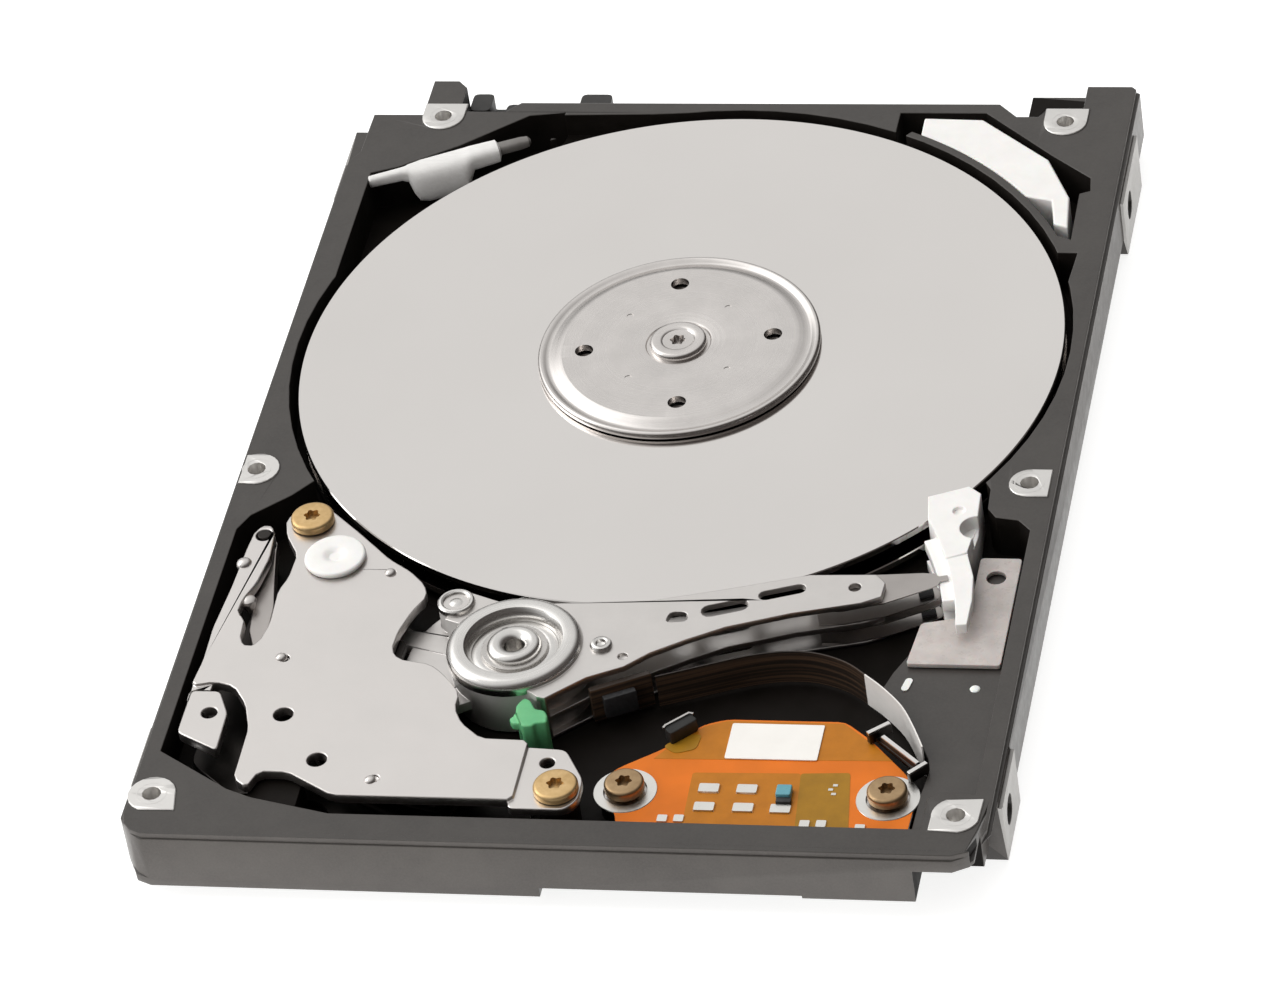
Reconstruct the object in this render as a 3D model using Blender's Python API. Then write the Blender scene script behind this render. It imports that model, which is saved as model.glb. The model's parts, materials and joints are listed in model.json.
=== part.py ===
"""A 2.5-inch hard disk drive with its cover lifted off.

The drive lies flat with its connector end at +Y and its open side up. The origin is the centre of
its footprint, at the height of the four side lugs that it rests on. Sizes below are millimetres,
and MM turns them into Blender's metres when a mesh is made.
"""

import math

import bmesh
import bpy
from mathutils import Vector
from mathutils.geometry import tessellate_polygon

MM = 0.001

# Overall size of the 2.5-inch form factor
WIDTH = 69.85
LENGTH = 100.0
HALF_W = WIDTH / 2
HALF_L = LENGTH / 2
BODY_HALF_W = 34.6
RIM_HALF_W = 34.3

# Heights above the lugs that the drive rests on
SKIRT = 1.5
BOARD_BOTTOM = 1.0
BOARD_TOP = 1.7
FLOOR_UNDER = 1.9
FLOOR = 2.5
BODY_TOP = 6.05
RIM = 6.5
PAD_TOP = 6.62

# Disks and spindle
SPINDLE = (0.0, 11.5)
DISK_R = 32.5
DISK_BORE_R = 10.0
DISK_THICK = 0.65
LOWER_DISK = 3.35
UPPER_DISK = 5.45
DISK_TOP = UPPER_DISK + DISK_THICK
HUB_R = 9.8
HUB_FLANGE_R = 12.9
CLAMP_R = 12.0
CLAMP_HOLE_RING_R = 8.0
CLAMP_HOLE_ANGLE = 9.0

# Actuator: its pivot, the bearing of the parked arms seen from the pivot, and its levels
PIVOT = (-6.5, -27.6)
PARKED = 16.9
BARREL_R = 5.3
BARREL_TOP = 7.9
ARM_LEVELS = ((2.72, 2.95), (4.45, 5.0), (6.53, 7.1))
COIL_LEVEL = (4.3, 5.1)
COIL_INNER_R = 9.6
COIL_OUTER_R = 17.6
COIL_CENTRE = 191.0
COIL_HALF_ANGLE = 23.0
BEAM_THICK = 0.1
BEAM_START = 24.3
TAB_END = 35.1
SLIDER_AT = 33.2
SLIDER_THICK = 0.21
BEAM_BOTTOMS = (6.4, 5.03, 4.32, 2.98)

# Voice coil motor plates
TOP_YOKE = (6.2, 7.1)
BOTTOM_YOKE = (2.7, 3.3)
TOP_MAGNET = (5.35, 6.05)
BOTTOM_MAGNET = (3.45, 4.1)
MAGNET_INNER_R = 9.4
MAGNET_OUTER_R = 18.0
MAGNET_FROM = 170.0
MAGNET_TO = 262.0

# Standard mounting holes, by distance from the connector end and from the middle
HOLE_FAR_Y = HALF_L - 14.0
HOLE_NEAR_Y = HALF_L - 90.6
SIDE_HOLE_Z = 3.0
BOTTOM_HOLE_X = 30.86
M3_TAP_R = 1.25

# Cover screw bosses on the rim
COVER_BOSSES = (
    (-27.0, 43.6),
    (28.7, 43.1),
    (-33.0, -5.35),
    (32.1, -5.6),
    (-32.5, -45.3),
    (31.7, -45.3),
)
COVER_HOLE_R = 0.75

YOKE_SCREWS = ((-26.4, -12.7, 7.2), (0.0, -43.9, 6.85))
FLEX_SCREWS = ((4.7, -41.2), (25.6, -41.3))
LATCH_PIN = (-30.2, -14.4)
FLEX_LEVEL = 4.4

ROUND = 32
FINE = 72


# ---------------------------------------------------------------- outlines and solids


def polar(centre, radius, degrees):
    """The point at a radius and a bearing from a centre."""
    angle = math.radians(degrees)
    return (centre[0] + radius * math.cos(angle), centre[1] + radius * math.sin(angle))


def arc(centre, radius, start, end, steps):
    """Points along an arc, both ends included."""
    return [polar(centre, radius, start + (end - start) * i / steps) for i in range(steps + 1)]


def circle(centre, radius, count=ROUND):
    return arc(centre, radius, 0.0, 360.0 * (count - 1) / count, count - 1)


def rectangle(x0, y0, x1, y1):
    return [(x0, y0), (x1, y0), (x1, y1), (x0, y1)]


def slot(start, end, radius, steps=8):
    """A round-ended slot between two points."""
    along = math.degrees(math.atan2(end[1] - start[1], end[0] - start[0]))
    return arc(start, radius, along + 90, along + 270, steps) + arc(end, radius, along - 90, along + 90, steps)


def rounded(points, radius, steps=4):
    """The same polygon with each corner turned into an arc-like curve of about this radius."""
    result = []
    for i, point in enumerate(points):
        here = Vector(point)
        before = Vector(points[i - 1])
        after = Vector(points[(i + 1) % len(points)])
        reach = min(radius, (before - here).length * 0.45, (after - here).length * 0.45)
        start = here + (before - here).normalized() * reach
        end = here + (after - here).normalized() * reach
        for k in range(steps + 1):
            t = k / steps
            curve = start * (1 - t) ** 2 + here * 2 * t * (1 - t) + end * t**2
            result.append((curve.x, curve.y))
    return result


def sector(centre, inner, outer, start, end, steps=16):
    """A piece of a ring."""
    return arc(centre, inner, start, end, steps) + arc(centre, outer, end, start, steps)


def plate(outline, bottom, top, holes=()):
    """A flat plate with holes through it, as points and faces."""
    loops = [list(outline)] + [list(hole) for hole in holes]
    flat = [point for loop in loops for point in loop]
    count = len(flat)
    points = [(x, y, bottom) for x, y in flat] + [(x, y, top) for x, y in flat]
    caps = tessellate_polygon([[Vector((x, y, 0)) for x, y in loop] for loop in loops])
    faces = [tuple(cap) for cap in caps]
    faces += [tuple(i + count for i in reversed(cap)) for cap in caps]
    first = 0
    for loop in loops:
        size = len(loop)
        for i in range(size):
            a = first + i
            b = first + (i + 1) % size
            faces.append((a, b, b + count, a + count))
        first += size
    return points, faces


def turned(profile, centre, count=ROUND, capped=False):
    """A profile of (radius, height) points turned about a vertical axis.

    A capped profile has a flat face across its first and its last ring. Any other closes on itself.
    """
    points = []
    for radius, height in profile:
        points += [(x, y, height) for x, y in circle(centre, radius, count)]
    faces = []
    rings = len(profile)
    for k in range(rings - 1 if capped else rings):
        lower = k * count
        upper = (k + 1) % rings * count
        for i in range(count):
            j = (i + 1) % count
            faces.append((lower + i, lower + j, upper + j, upper + i))
    if capped:
        faces.append(tuple(range(count)))
        faces.append(tuple(range((rings - 1) * count, rings * count)))
    return points, faces


def disc(centre, radius, bottom, top, count=ROUND):
    return plate(circle(centre, radius, count), bottom, top)


def ring(centre, inner, outer, bottom, top, count=ROUND):
    return turned([(inner, bottom), (outer, bottom), (outer, top), (inner, top)], centre, count)


def along_x(solid, origin):
    """A solid turned from the Z axis to the X axis and moved to an origin."""
    points, faces = solid
    return [(origin[0] + z, origin[1] + x, origin[2] + y) for x, y, z in points], faces


# ---------------------------------------------------------------- objects


def material(name, color, roughness, metallic):
    made = bpy.data.materials.get(name)
    if made:
        return made
    made = bpy.data.materials.new(name)
    made.use_nodes = True
    shader = made.node_tree.nodes["Principled BSDF"]
    shader.inputs["Base Color"].default_value = (*color, 1.0)
    shader.inputs["Roughness"].default_value = roughness
    shader.inputs["Metallic"].default_value = metallic
    return made


def coated():
    return material("grey_e_coat", (0.09, 0.09, 0.095), 0.5, 0.2)


def bright_metal():
    return material("machined_aluminium", (0.78, 0.77, 0.76), 0.3, 1.0)


def nickel():
    return material("nickel_plated_steel", (0.72, 0.71, 0.69), 0.28, 1.0)


def steel():
    return material("stainless_steel", (0.62, 0.61, 0.6), 0.3, 1.0)


def brown_screw():
    return material("passivated_screw", (0.62, 0.44, 0.27), 0.4, 0.9)


def copper():
    return material("coil_copper", (0.66, 0.32, 0.14), 0.4, 1.0)


def white_plastic():
    return material("white_plastic", (0.88, 0.87, 0.84), 0.45, 0.0)


def black_plastic():
    return material("black_plastic", (0.03, 0.03, 0.03), 0.5, 0.0)


def board_green():
    return material("circuit_board_green", (0.03, 0.16, 0.08), 0.45, 0.0)


def polyimide():
    return material("orange_polyimide", (0.75, 0.33, 0.07), 0.4, 0.0)


def build(name, solid, finish, axis=(0.0, 0.0)):
    """A mesh object of a solid, with its origin on a vertical axis."""
    points, faces = solid
    mesh = bpy.data.meshes.new(name)
    work = bmesh.new()
    corners = [work.verts.new(((x - axis[0]) * MM, (y - axis[1]) * MM, z * MM)) for x, y, z in points]
    for face in faces:
        work.faces.new([corners[i] for i in face])
    bmesh.ops.recalc_face_normals(work, faces=work.faces)
    work.to_mesh(mesh)
    work.free()
    if finish:
        mesh.materials.append(finish)
    mesh.shade_smooth()
    mesh.set_sharp_from_angle(angle=math.radians(30))
    obj = bpy.data.objects.new(name, mesh)
    obj.location = (axis[0] * MM, axis[1] * MM, 0)
    bpy.context.scene.collection.objects.link(obj)
    return obj


def combine(obj, name, solid, operation):
    """Cuts a solid from an object, or joins one to it, with a Boolean modifier."""
    helper = build(f"{obj.name}_{name}", solid, None)
    helper.hide_render = True
    helper.display_type = "WIRE"
    modifier = obj.modifiers.new(name, "BOOLEAN")
    modifier.operation = operation
    modifier.solver = "EXACT"
    modifier.object = helper


def cut(obj, name, solid):
    combine(obj, name, solid, "DIFFERENCE")


def join(obj, name, solid):
    combine(obj, name, solid, "UNION")


def six_lobes(centre, radius):
    """The outline of a six-lobed socket."""
    return [polar(centre, radius * (1.16 - 0.32 * (i % 2)), 30 * i) for i in range(12)]


def screw(name, centre, bottom, head_bottom, head_top, head_r, shank_r, finish, socket_r=0.75):
    """A flat-headed screw with a six-lobed socket."""
    profile = [
        (shank_r, bottom),
        (shank_r, head_bottom),
        (head_r, head_bottom),
        (head_r, head_top - 0.15),
        (head_r - 0.15, head_top),
    ]
    obj = build(name, turned(profile, centre, 24, capped=True), finish, centre)
    cut(obj, "socket", plate(six_lobes(centre, socket_r), (head_bottom + head_top) / 2 - 0.1, head_top + 1))
    return obj


# ---------------------------------------------------------------- base casting

RIM_OUTLINE = [
    (-32.4, -49.8),
    (31.9, -49.8),
    (33.2, -49.3),
    (33.9, -48.2),
    (RIM_HALF_W, -46.8),
    (RIM_HALF_W, 47.9),
    (33.9, 48.3),
    (30.0, 48.3),
    (30.0, 45.0),
    (26.8, 45.0),
    (26.2, 43.9),
    (24.3, 43.9),
    (22.6, 45.7),
    (-20.3, 45.7),
    (-21.5, 44.4),
    (-25.7, 44.4),
    (-25.7, 47.9),
    (-26.6, 48.9),
    (-28.9, 48.9),
    (-28.9, 43.9),
    (-33.4, 43.9),
    (-33.5, 38.4),
    (-RIM_HALF_W, 37.0),
    (-RIM_HALF_W, -47.6),
    (-34.0, -48.7),
    (-33.4, -49.4),
]

BACK_LEFT_POCKET = [
    (-20.0, 20.0),
    (-16.0, 44.3),
    (-19.2, 43.8),
    (-24.7, 39.4),
    (-29.6, 36.3),
    (-31.9, 35.4),
    (-31.9, 20.0),
]

SHROUD_R = 33.9

BACK_RIGHT_POCKET = [
    (31.3, 26.6),
    (31.2, 33.0),
    (32.1, 33.4),
    (31.9, 35.2),
    (28.1, 38.4),
    (21.6, 44.4),
    (14.0, 44.4),
    (14.0, 40.0),
    *arc(SPINDLE, SHROUD_R, 63.0, 27.5, 18),
]

RIGHT_POCKET = [(26.0, 18.0), (31.6, 18.0), (32.1, 24.8), (26.0, 24.8)]

CHAMBER = [
    (-29.3, -8.6),
    (-32.2, -11.2),
    (-33.0, -13.0),
    (-33.0, -40.2),
    (-26.6, -44.4),
    (-24.4, -45.3),
    (-17.8, -46.9),
    (29.2, -46.9),
    (29.2, -43.4),
    (30.0, -42.8),
    (32.9, -42.8),
    (32.9, -11.4),
    (31.8, -10.2),
    (29.9, -9.9),
    (29.1, -8.8),
    (29.0, -6.4),
    (28.2, -5.0),
    (24.0, -2.0),
    (-24.0, -2.0),
]


def lower_outline():
    """The rim outline pushed out a little at its long sides and its near end."""
    grown = []
    for x, y in RIM_OUTLINE:
        wide = BODY_HALF_W if abs(x) == RIM_HALF_W else abs(x)
        grown.append((math.copysign(wide, x), -HALF_L if y < -49.5 else y))
    return grown


def casting_body():
    base = build("base_casting", plate(lower_outline(), SKIRT, BODY_TOP), coated())
    join(base, "rim", plate(RIM_OUTLINE, BODY_TOP - 0.5, RIM))
    for side in (-1, 1):
        for label, low, high in (("far", 32.9, 42.6), ("near", -43.2, -36.4)):
            inner = side * 28.9
            outer = side * HALF_W
            lug = rectangle(min(inner, outer), low, max(inner, outer), high)
            join(base, f"lug_{label}_{'right' if side > 0 else 'left'}", plate(lug, 0, 5.5))
    join(base, "connector_shoulder", plate(rectangle(24.9, 43.0, 31.0, 49.0), SKIRT, 4.8))
    foot = [(-32.4, -50.0), (-0.9, -50.0), (-0.9, -46.6), (-33.6, -46.6), (-34.2, -48.2), (-33.6, -49.5)]
    join(base, "near_foot", plate(foot, 1.1, SKIRT + 0.4))
    return base


def casting_cavity(base):
    cut(base, "disk_well", disc(SPINDLE, 33.2, FLOOR, 10, FINE))
    cut(base, "filter_pocket", plate(BACK_LEFT_POCKET, FLOOR + 0.02, 10))
    cut(base, "desiccant_pocket", plate(BACK_RIGHT_POCKET, FLOOR + 0.04, 10))
    cut(base, "side_pocket", plate(RIGHT_POCKET, FLOOR + 0.06, 10))
    cut(base, "chamber", plate(CHAMBER, FLOOR + 0.01, 10))


def casting_supports(base):
    """What stands on the chamber floor: ledges, standoffs and the pad under the yoke."""
    ledge = [(27.9, -47.5), (33.5, -47.5), (33.5, -13.4), (29.3, -13.4), (29.3, -22.6), (25.6, -22.6)]
    ledge += [(23.8, -26.8), (23.1, -29.2), (24.1, -30.3), (25.75, -32.2), (27.0, -34.4), (28.1, -36.8)]
    ledge += [(28.4, -38.0), (28.1, -40.9)]
    join(base, "right_ledge", plate(ledge, FLOOR - 0.3, 4.5))
    join(base, "yoke_pad", plate(rectangle(-25.0, -46.4, -20.8, -42.6), FLOOR - 0.35, 6.0))
    for i, (x, y) in enumerate(FLEX_SCREWS):
        join(base, f"flex_post_{i + 1}", disc((x, y), 2.1, FLOOR - 0.25, 3.7, 16))
    for i, (x, y, _) in enumerate(YOKE_SCREWS):
        join(base, f"yoke_post_{i + 1}", disc((x, y), 1.6, FLOOR - 0.28, 5.9, 16))
    join(base, "pivot_seat", disc(PIVOT, 2.5, FLOOR - 0.22, 2.7, 32))


def casting_pads(base):
    """Machined faces round the cover's screw holes."""
    faces = (
        arc(COVER_BOSSES[0], 1.9, 180, 360, 12) + [(-25.1, 45.4), (-28.9, 45.4)],
        arc(COVER_BOSSES[1], 1.9, 180, 360, 12) + [(30.6, 44.95), (26.8, 44.95)],
        arc(COVER_BOSSES[2], 1.95, -100, 100, 12) + [(-34.2, -3.6), (-34.2, -7.2)],
        arc(COVER_BOSSES[3], 1.7, 90, 270, 12) + [(33.8, -7.3), (33.8, -3.9)],
        arc(COVER_BOSSES[4], 1.95, 0, 250, 14) + [(-31.0, -47.1), (-30.25, -47.1)],
        arc(COVER_BOSSES[5], 1.95, 120, 190, 6)
        + [(29.75, -47.1)]
        + arc(COVER_BOSSES[5], 1.95, 280, 340, 6)
        + [(33.65, -43.4)],
    )
    for i, face in enumerate(faces):
        join(base, f"cover_boss_{i + 1}", plate(face, 4.9, PAD_TOP))


def casting_openings(base):
    below = -1.0
    cut(base, "board_recess", plate(rectangle(-28.6, -46.0, 28.6, 55.0), below, FLOOR_UNDER))
    cut(base, "near_step", plate(rectangle(-0.9, -55.0, 19.9, -45.9), below, 2.0))
    cut(base, "near_corner_step", plate(rectangle(19.8, -55.0, 30.0, -45.8), below, 1.75))
    cut(base, "corner_notch", plate(rectangle(28.8, -55.0, 40.0, -45.6), below, 4.9))
    cut(base, "side_relief", plate(rectangle(33.5, -55.0, 40.0, -43.2), below, 6.0))
    cut(base, "corner_pocket", plate([(33.0, -49.2), (34.0, -49.2), (34.0, -44.2), (33.6, -46.8)], 5.3, 10))
    cut(base, "spindle_hole", disc(SPINDLE, 3.2, below, 10, 32))
    cut(base, "pivot_hole", disc(PIVOT, 1.85, below, 10, 24))
    cut(base, "flex_window", plate(rectangle(9.0, -44.2, 19.6, -39.8), below, 3))
    for i, (x, y) in enumerate(FLEX_SCREWS):
        cut(base, f"flex_tap_{i + 1}", disc((x, y), 0.9, 2.8, 10, 12))
    for i, (x, y, _) in enumerate(YOKE_SCREWS):
        cut(base, f"yoke_tap_{i + 1}", disc((x, y), 0.9, 2.8, 10, 12))
    for i, (x, y) in enumerate(COVER_BOSSES):
        cut(base, f"cover_tap_{i + 1}", disc((x, y), COVER_HOLE_R, 5.2 if i == 5 else 3.4, 10, 12))
    for side in (-1, 1):
        for label, y in (("far", HOLE_FAR_Y), ("near", HOLE_NEAR_Y)):
            tap = along_x(disc((0, 0), M3_TAP_R, -2.2, 2.2, 16), (side * HALF_W, y, SIDE_HOLE_Z))
            place = f"{label}_{'right' if side > 0 else 'left'}"
            cut(base, f"side_tap_{place}", tap)
            cut(base, f"bottom_tap_{place}", disc((side * BOTTOM_HOLE_X, y), M3_TAP_R, below, 1.9, 16))
    for i, (x, y) in enumerate(BOARD_SCREWS):
        cut(base, f"board_tap_{i + 1}", disc((x, y), 0.65, below, 2.3, 12))


# ---------------------------------------------------------------- circuit board, below the casting

BOARD_SCREWS = ((-25.6, 40.0), (25.6, 40.0), (-25.6, -12.0), (25.6, -12.0))


def circuit_board():
    outline = rounded(
        [
            (-27.9, -45.0),
            (27.9, -45.0),
            (27.9, 44.6),
            (22.0, 46.6),
            (-22.0, 46.6),
            (-27.9, 44.6),
        ],
        1.5,
    )
    holes = [circle(SPINDLE, 8.6, 32), circle(PIVOT, 3.0, 16)]
    holes += [circle(place, 0.9, 12) for place in BOARD_SCREWS]
    build("circuit_board", plate(outline, BOARD_BOTTOM, BOARD_TOP, holes), board_green())
    chips = (
        ("controller_chip", 9.0, -14.0, 7.0, 7.0),
        ("motor_driver_chip", -17.0, -6.0, 4.0, 4.0),
    )
    for name, x, y, half_x, half_y in chips:
        chip = rounded(rectangle(x - half_x, y - half_y, x + half_x, y + half_y), 0.4, 2)
        build(name, plate(chip, 0.2, BOARD_BOTTOM - 0.05), black_plastic())
    for i, place in enumerate(BOARD_SCREWS):
        screw_down(f"board_screw_{i + 1}", place)


def screw_down(name, centre):
    """A small screw put in from below, its head under the circuit board."""
    profile = [
        (1.25, 0.35),
        (1.45, 0.5),
        (1.45, 0.9),
        (0.55, 0.9),
        (0.55, 2.2),
    ]
    obj = build(name, turned(profile, centre, 16, capped=True), steel(), centre)
    cut(obj, "socket", plate(six_lobes(centre, 0.6), -1, 0.7))


def sata_connector():
    """The data and power connector at the far end, with two upstanding locating posts."""
    body = rounded(rectangle(-22.9, 46.9, 22.0, HALF_L), 0.5, 2)
    shell = build("sata_connector", plate(body, 0.3, 3.1), black_plastic())
    join(shell, "foot", plate(rectangle(-21.5, 45.95, 20.5, 47.5), 1.85, 2.95))
    join(shell, "post_tab", plate(rectangle(-25.6, 46.9, -22.0, 49.4), 1.85, 3.0))
    join(shell, "post_left", plate(rounded(rectangle(-25.6, 46.9, -23.7, 49.4), 0.5, 3), 2.9, 4.7))
    join(shell, "post_right", plate(rounded(rectangle(-15.7, 46.9, -12.9, 49.4), 0.5, 3), 2.8, 4.7))
    cut(shell, "data_slot", plate(rectangle(-20.8, 47.9, -9.6, 55.0), 0.8, 2.6))
    cut(shell, "power_slot", plate(rectangle(-7.8, 47.9, 14.0, 55.0), 0.8, 2.6))
    cut(shell, "service_slot", plate(rectangle(16.0, 48.3, 21.0, 55.0), 0.8, 2.6))
    join(shell, "data_tongue", plate(rectangle(-20.3, 47.4, -10.1, 49.8), 1.6, 2.2))
    join(shell, "power_tongue", plate(rectangle(-7.3, 47.4, 13.5, 49.8), 1.6, 2.2))


def head_connector():
    """The pin block that carries the flex circuit's wires down through the casting."""
    build("head_connector", plate(rectangle(9.5, -43.7, 19.1, -40.3), BOARD_TOP + 0.15, 3.75), black_plastic())


# ---------------------------------------------------------------- spindle and disks


def spindle_motor():
    sleeve = [
        (1.6, 1.15),
        (7.9, 1.15),
        (8.1, 1.3),
        (8.1, 1.75),
        (3.05, 1.75),
        (3.05, 5.1),
        (1.6, 5.1),
    ]
    build("spindle_sleeve", turned(sleeve, SPINDLE), bright_metal())
    stator = []
    poles = 9
    for i in range(poles):
        middle = 360.0 * i / poles
        stator += [polar(SPINDLE, 4.3, middle - 14), polar(SPINDLE, 6.2, middle - 9)]
        stator += arc(SPINDLE, 7.0, middle - 14, middle + 14, 2)
        stator += [polar(SPINDLE, 6.2, middle + 9), polar(SPINDLE, 4.3, middle + 14)]
    core = plate(stator, 3.1, 4.5, [circle(SPINDLE, 3.3, 24)])
    build("motor_stator", core, copper())
    build("rotor_magnet", ring(SPINDLE, 7.3, 8.1, 2.95, 4.8), black_plastic(), SPINDLE)
    hub = [
        (1.75, 5.4),
        (8.35, 5.4),
        (8.35, 2.8),
        (HUB_FLANGE_R, 2.8),
        (HUB_FLANGE_R, 3.2),
        (HUB_R, 3.2),
        (HUB_R, 6.2),
        (1.75, 6.2),
    ]
    build("spindle_hub", turned(hub, SPINDLE), bright_metal(), SPINDLE)
    build("spindle_shaft", disc(SPINDLE, 1.45, 1.3, 5.9, 32), steel(), SPINDLE)


def disks():
    for name, bottom in (("lower_platter", LOWER_DISK), ("upper_platter", UPPER_DISK)):
        platter = ring(SPINDLE, DISK_BORE_R, DISK_R, bottom, bottom + DISK_THICK, FINE)
        build(name, platter, bright_metal(), SPINDLE)
    gap_bottom = LOWER_DISK + DISK_THICK + 0.1
    spacer = ring(SPINDLE, DISK_BORE_R, HUB_FLANGE_R, gap_bottom, UPPER_DISK - 0.1)
    build("platter_spacer", spacer, bright_metal(), SPINDLE)


def disk_clamp():
    """A pressed spring disc with a rolled edge, four spanner holes and one central screw."""
    profile = [
        (1.5, 6.35),
        (9.6, 6.35),
        (10.4, 6.2),
        (11.6, 6.2),
        (CLAMP_R, 6.6),
        (11.4, 7.05),
        (10.7, 7.0),
        (10.1, 6.8),
        (1.5, 6.95),
    ]
    clamp = build("disk_clamp", turned(profile, SPINDLE, 40), bright_metal(), SPINDLE)
    for i in range(4):
        centre = polar(SPINDLE, CLAMP_HOLE_RING_R, CLAMP_HOLE_ANGLE + 90 * i)
        cut(clamp, f"spanner_hole_{i + 1}", disc(centre, 0.75, 5, 9, 12))
    screw("clamp_screw", SPINDLE, 6.0, 7.05, 7.6, 2.35, 1.35, bright_metal(), 0.85)


# ---------------------------------------------------------------- actuator


def from_pivot(radius, across):
    """A point at a distance along the parked arms and a distance to their left."""
    along = math.radians(PARKED)
    x = PIVOT[0] + radius * math.cos(along) - across * math.sin(along)
    y = PIVOT[1] + radius * math.sin(along) + across * math.cos(along)
    return (x, y)


def arm_outline():
    """The plan of the arms and the barrel that they grow from."""
    barrel = arc(PIVOT, BARREL_R, 105, 290, 22)
    front = [(-3.6, -33.4), (-2.9, -33.6), (0.0, -31.0), (2.8, -29.6), (4.6, -27.9), (7.3, -26.2)]
    front += [(10.2, -24.6), (15.2, -22.8), (20.6, -21.4), (22.2, -20.6)]
    back = [(22.3, -18.9), (21.4, -17.9), (16.0, -18.1), (9.6, -20.0), (3.6, -21.6), (-2.4, -22.0)]
    return barrel + front + back


def fork_outline(side):
    """One of the two fingers that hold the coil: side is -1 for the upper one and 1 for the lower."""
    edge = COIL_CENTRE + side * (COIL_HALF_ANGLE + 2.0)
    inner = edge + side * 9.0
    outer = edge + side * 4.2
    corners = [
        polar(PIVOT, 4.6, edge - side * 6),
        polar(PIVOT, COIL_OUTER_R - 1.0, edge),
        polar(PIVOT, COIL_OUTER_R - 0.4, outer),
        polar(PIVOT, 4.6, inner + side * 14),
    ]
    return corners if side > 0 else corners[::-1]


def actuator_arm():
    bottom = ARM_LEVELS[0][0]
    top = ARM_LEVELS[2][1]
    arm = build("actuator_arm", plate(arm_outline(), bottom, top), bright_metal(), PIVOT)
    join(arm, "cap", disc(PIVOT, 5.5, top - 0.3, BARREL_TOP, 48))
    for name, side in (("upper_finger", -1), ("lower_finger", 1)):
        join(arm, name, plate(fork_outline(side), COIL_LEVEL[0] - 0.05, COIL_LEVEL[1] + 0.05))
    join(arm, "side_column", disc((-12.3, -22.5), 1.5, 4.1, 7.25, 24))
    join(arm, "coil_web", plate(sector(PIVOT, 4.6, 9.3, 143, 212, 12), COIL_LEVEL[0] - 0.04, COIL_LEVEL[1] + 0.04))
    join(arm, "column_web", plate([(-12.9, -24.4), (-10.0, -25.5), (-8.0, -22.4), (-11.6, -20.98)], 4.1, top))
    reach = [from_pivot(40, 14), *reversed(arc(PIVOT, 6.3, 290, 480, 20)), from_pivot(40, -16)]
    for i in range(2):
        gap = plate(reach, ARM_LEVELS[i][1], ARM_LEVELS[i + 1][0])
        cut(arm, f"platter_gap_{i + 1}", gap)
    windows = (
        rounded([(5.2, -24.2), (7.0, -24.0), (6.8, -22.9), (5.4, -22.9)], 0.5, 3),
        slot((8.6, -22.7), (10.9, -21.9), 0.7, 6),
        slot((12.8, -20.7), (15.4, -19.8), 0.55, 6),
    )
    for i, window in enumerate(windows):
        cut(arm, f"window_{i + 1}", plate(window, 0, 10))
    cut(arm, "bore", disc(PIVOT, 3.65, 0, 10, ROUND))
    cut(arm, "dimple_1", disc((0.8, -27.3), 0.55, 6.8, 10, 16))
    cut(arm, "dimple_2", disc((2.5, -28.4), 0.4, 6.8, 10, 12))
    cut(arm, "swage_hole", disc((19.9, -19.5), 0.5, 0, 10, 12))


def pivot_bearing():
    sleeve = [(2.85, 2.9), (3.5, 2.9), (3.5, 7.35), (2.85, 7.35)]
    build("pivot_sleeve", turned(sleeve, PIVOT), steel(), PIVOT)
    for name, bottom in (("lower_pivot_bearing", 3.0), ("upper_pivot_bearing", 6.0)):
        build(name, ring(PIVOT, 1.75, 2.7, bottom, bottom + 1.1, 32), steel())
    shaft = [
        (1.55, FLOOR_UNDER + 0.1),
        (1.55, 7.25),
        (2.3, 7.25),
        (2.3, 7.7),
        (0.85, 7.7),
        (0.85, 6.0),
    ]
    build("pivot_shaft", turned(shaft, PIVOT, 24, capped=True), steel())


def coil_loop(inner_r, outer_r, half_angle, corner):
    """The outline of the wedge-shaped coil about its middle bearing."""
    start = COIL_CENTRE - half_angle
    end = COIL_CENTRE + half_angle
    corners = arc(PIVOT, inner_r, start + 5, end - 5, 6) + arc(PIVOT, outer_r, end, start, 10)
    return rounded(corners, corner, 3)


def voice_coil():
    low, high = COIL_LEVEL
    outer = coil_loop(COIL_INNER_R, COIL_OUTER_R - 0.7, COIL_HALF_ANGLE - 2.5, 1.0)
    inner = coil_loop(COIL_INNER_R + 2.1, COIL_OUTER_R - 2.8, COIL_HALF_ANGLE - 10.5, 0.6)
    build("voice_coil", plate(outer, low, high, [inner]), copper(), PIVOT)
    bobbin = coil_loop(COIL_INNER_R + 2.35, COIL_OUTER_R - 3.05, COIL_HALF_ANGLE - 12, 0.5)
    build("coil_bobbin", plate(bobbin, low + 0.05, high - 0.05), black_plastic(), PIVOT)


def beam_outline():
    """The load beam's plan, from under the arm's end to its lift tab."""
    half = (
        (BEAM_START, 1.35),
        (26.2, 1.85),
        (29.6, 1.8),
        (33.2, 1.05),
        (34.1, 0.75),
        (34.4, 0.3),
        (TAB_END, 0.3),
    )
    return [from_pivot(r, -w) for r, w in half] + [from_pivot(r, w) for r, w in reversed(half)]


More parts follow.
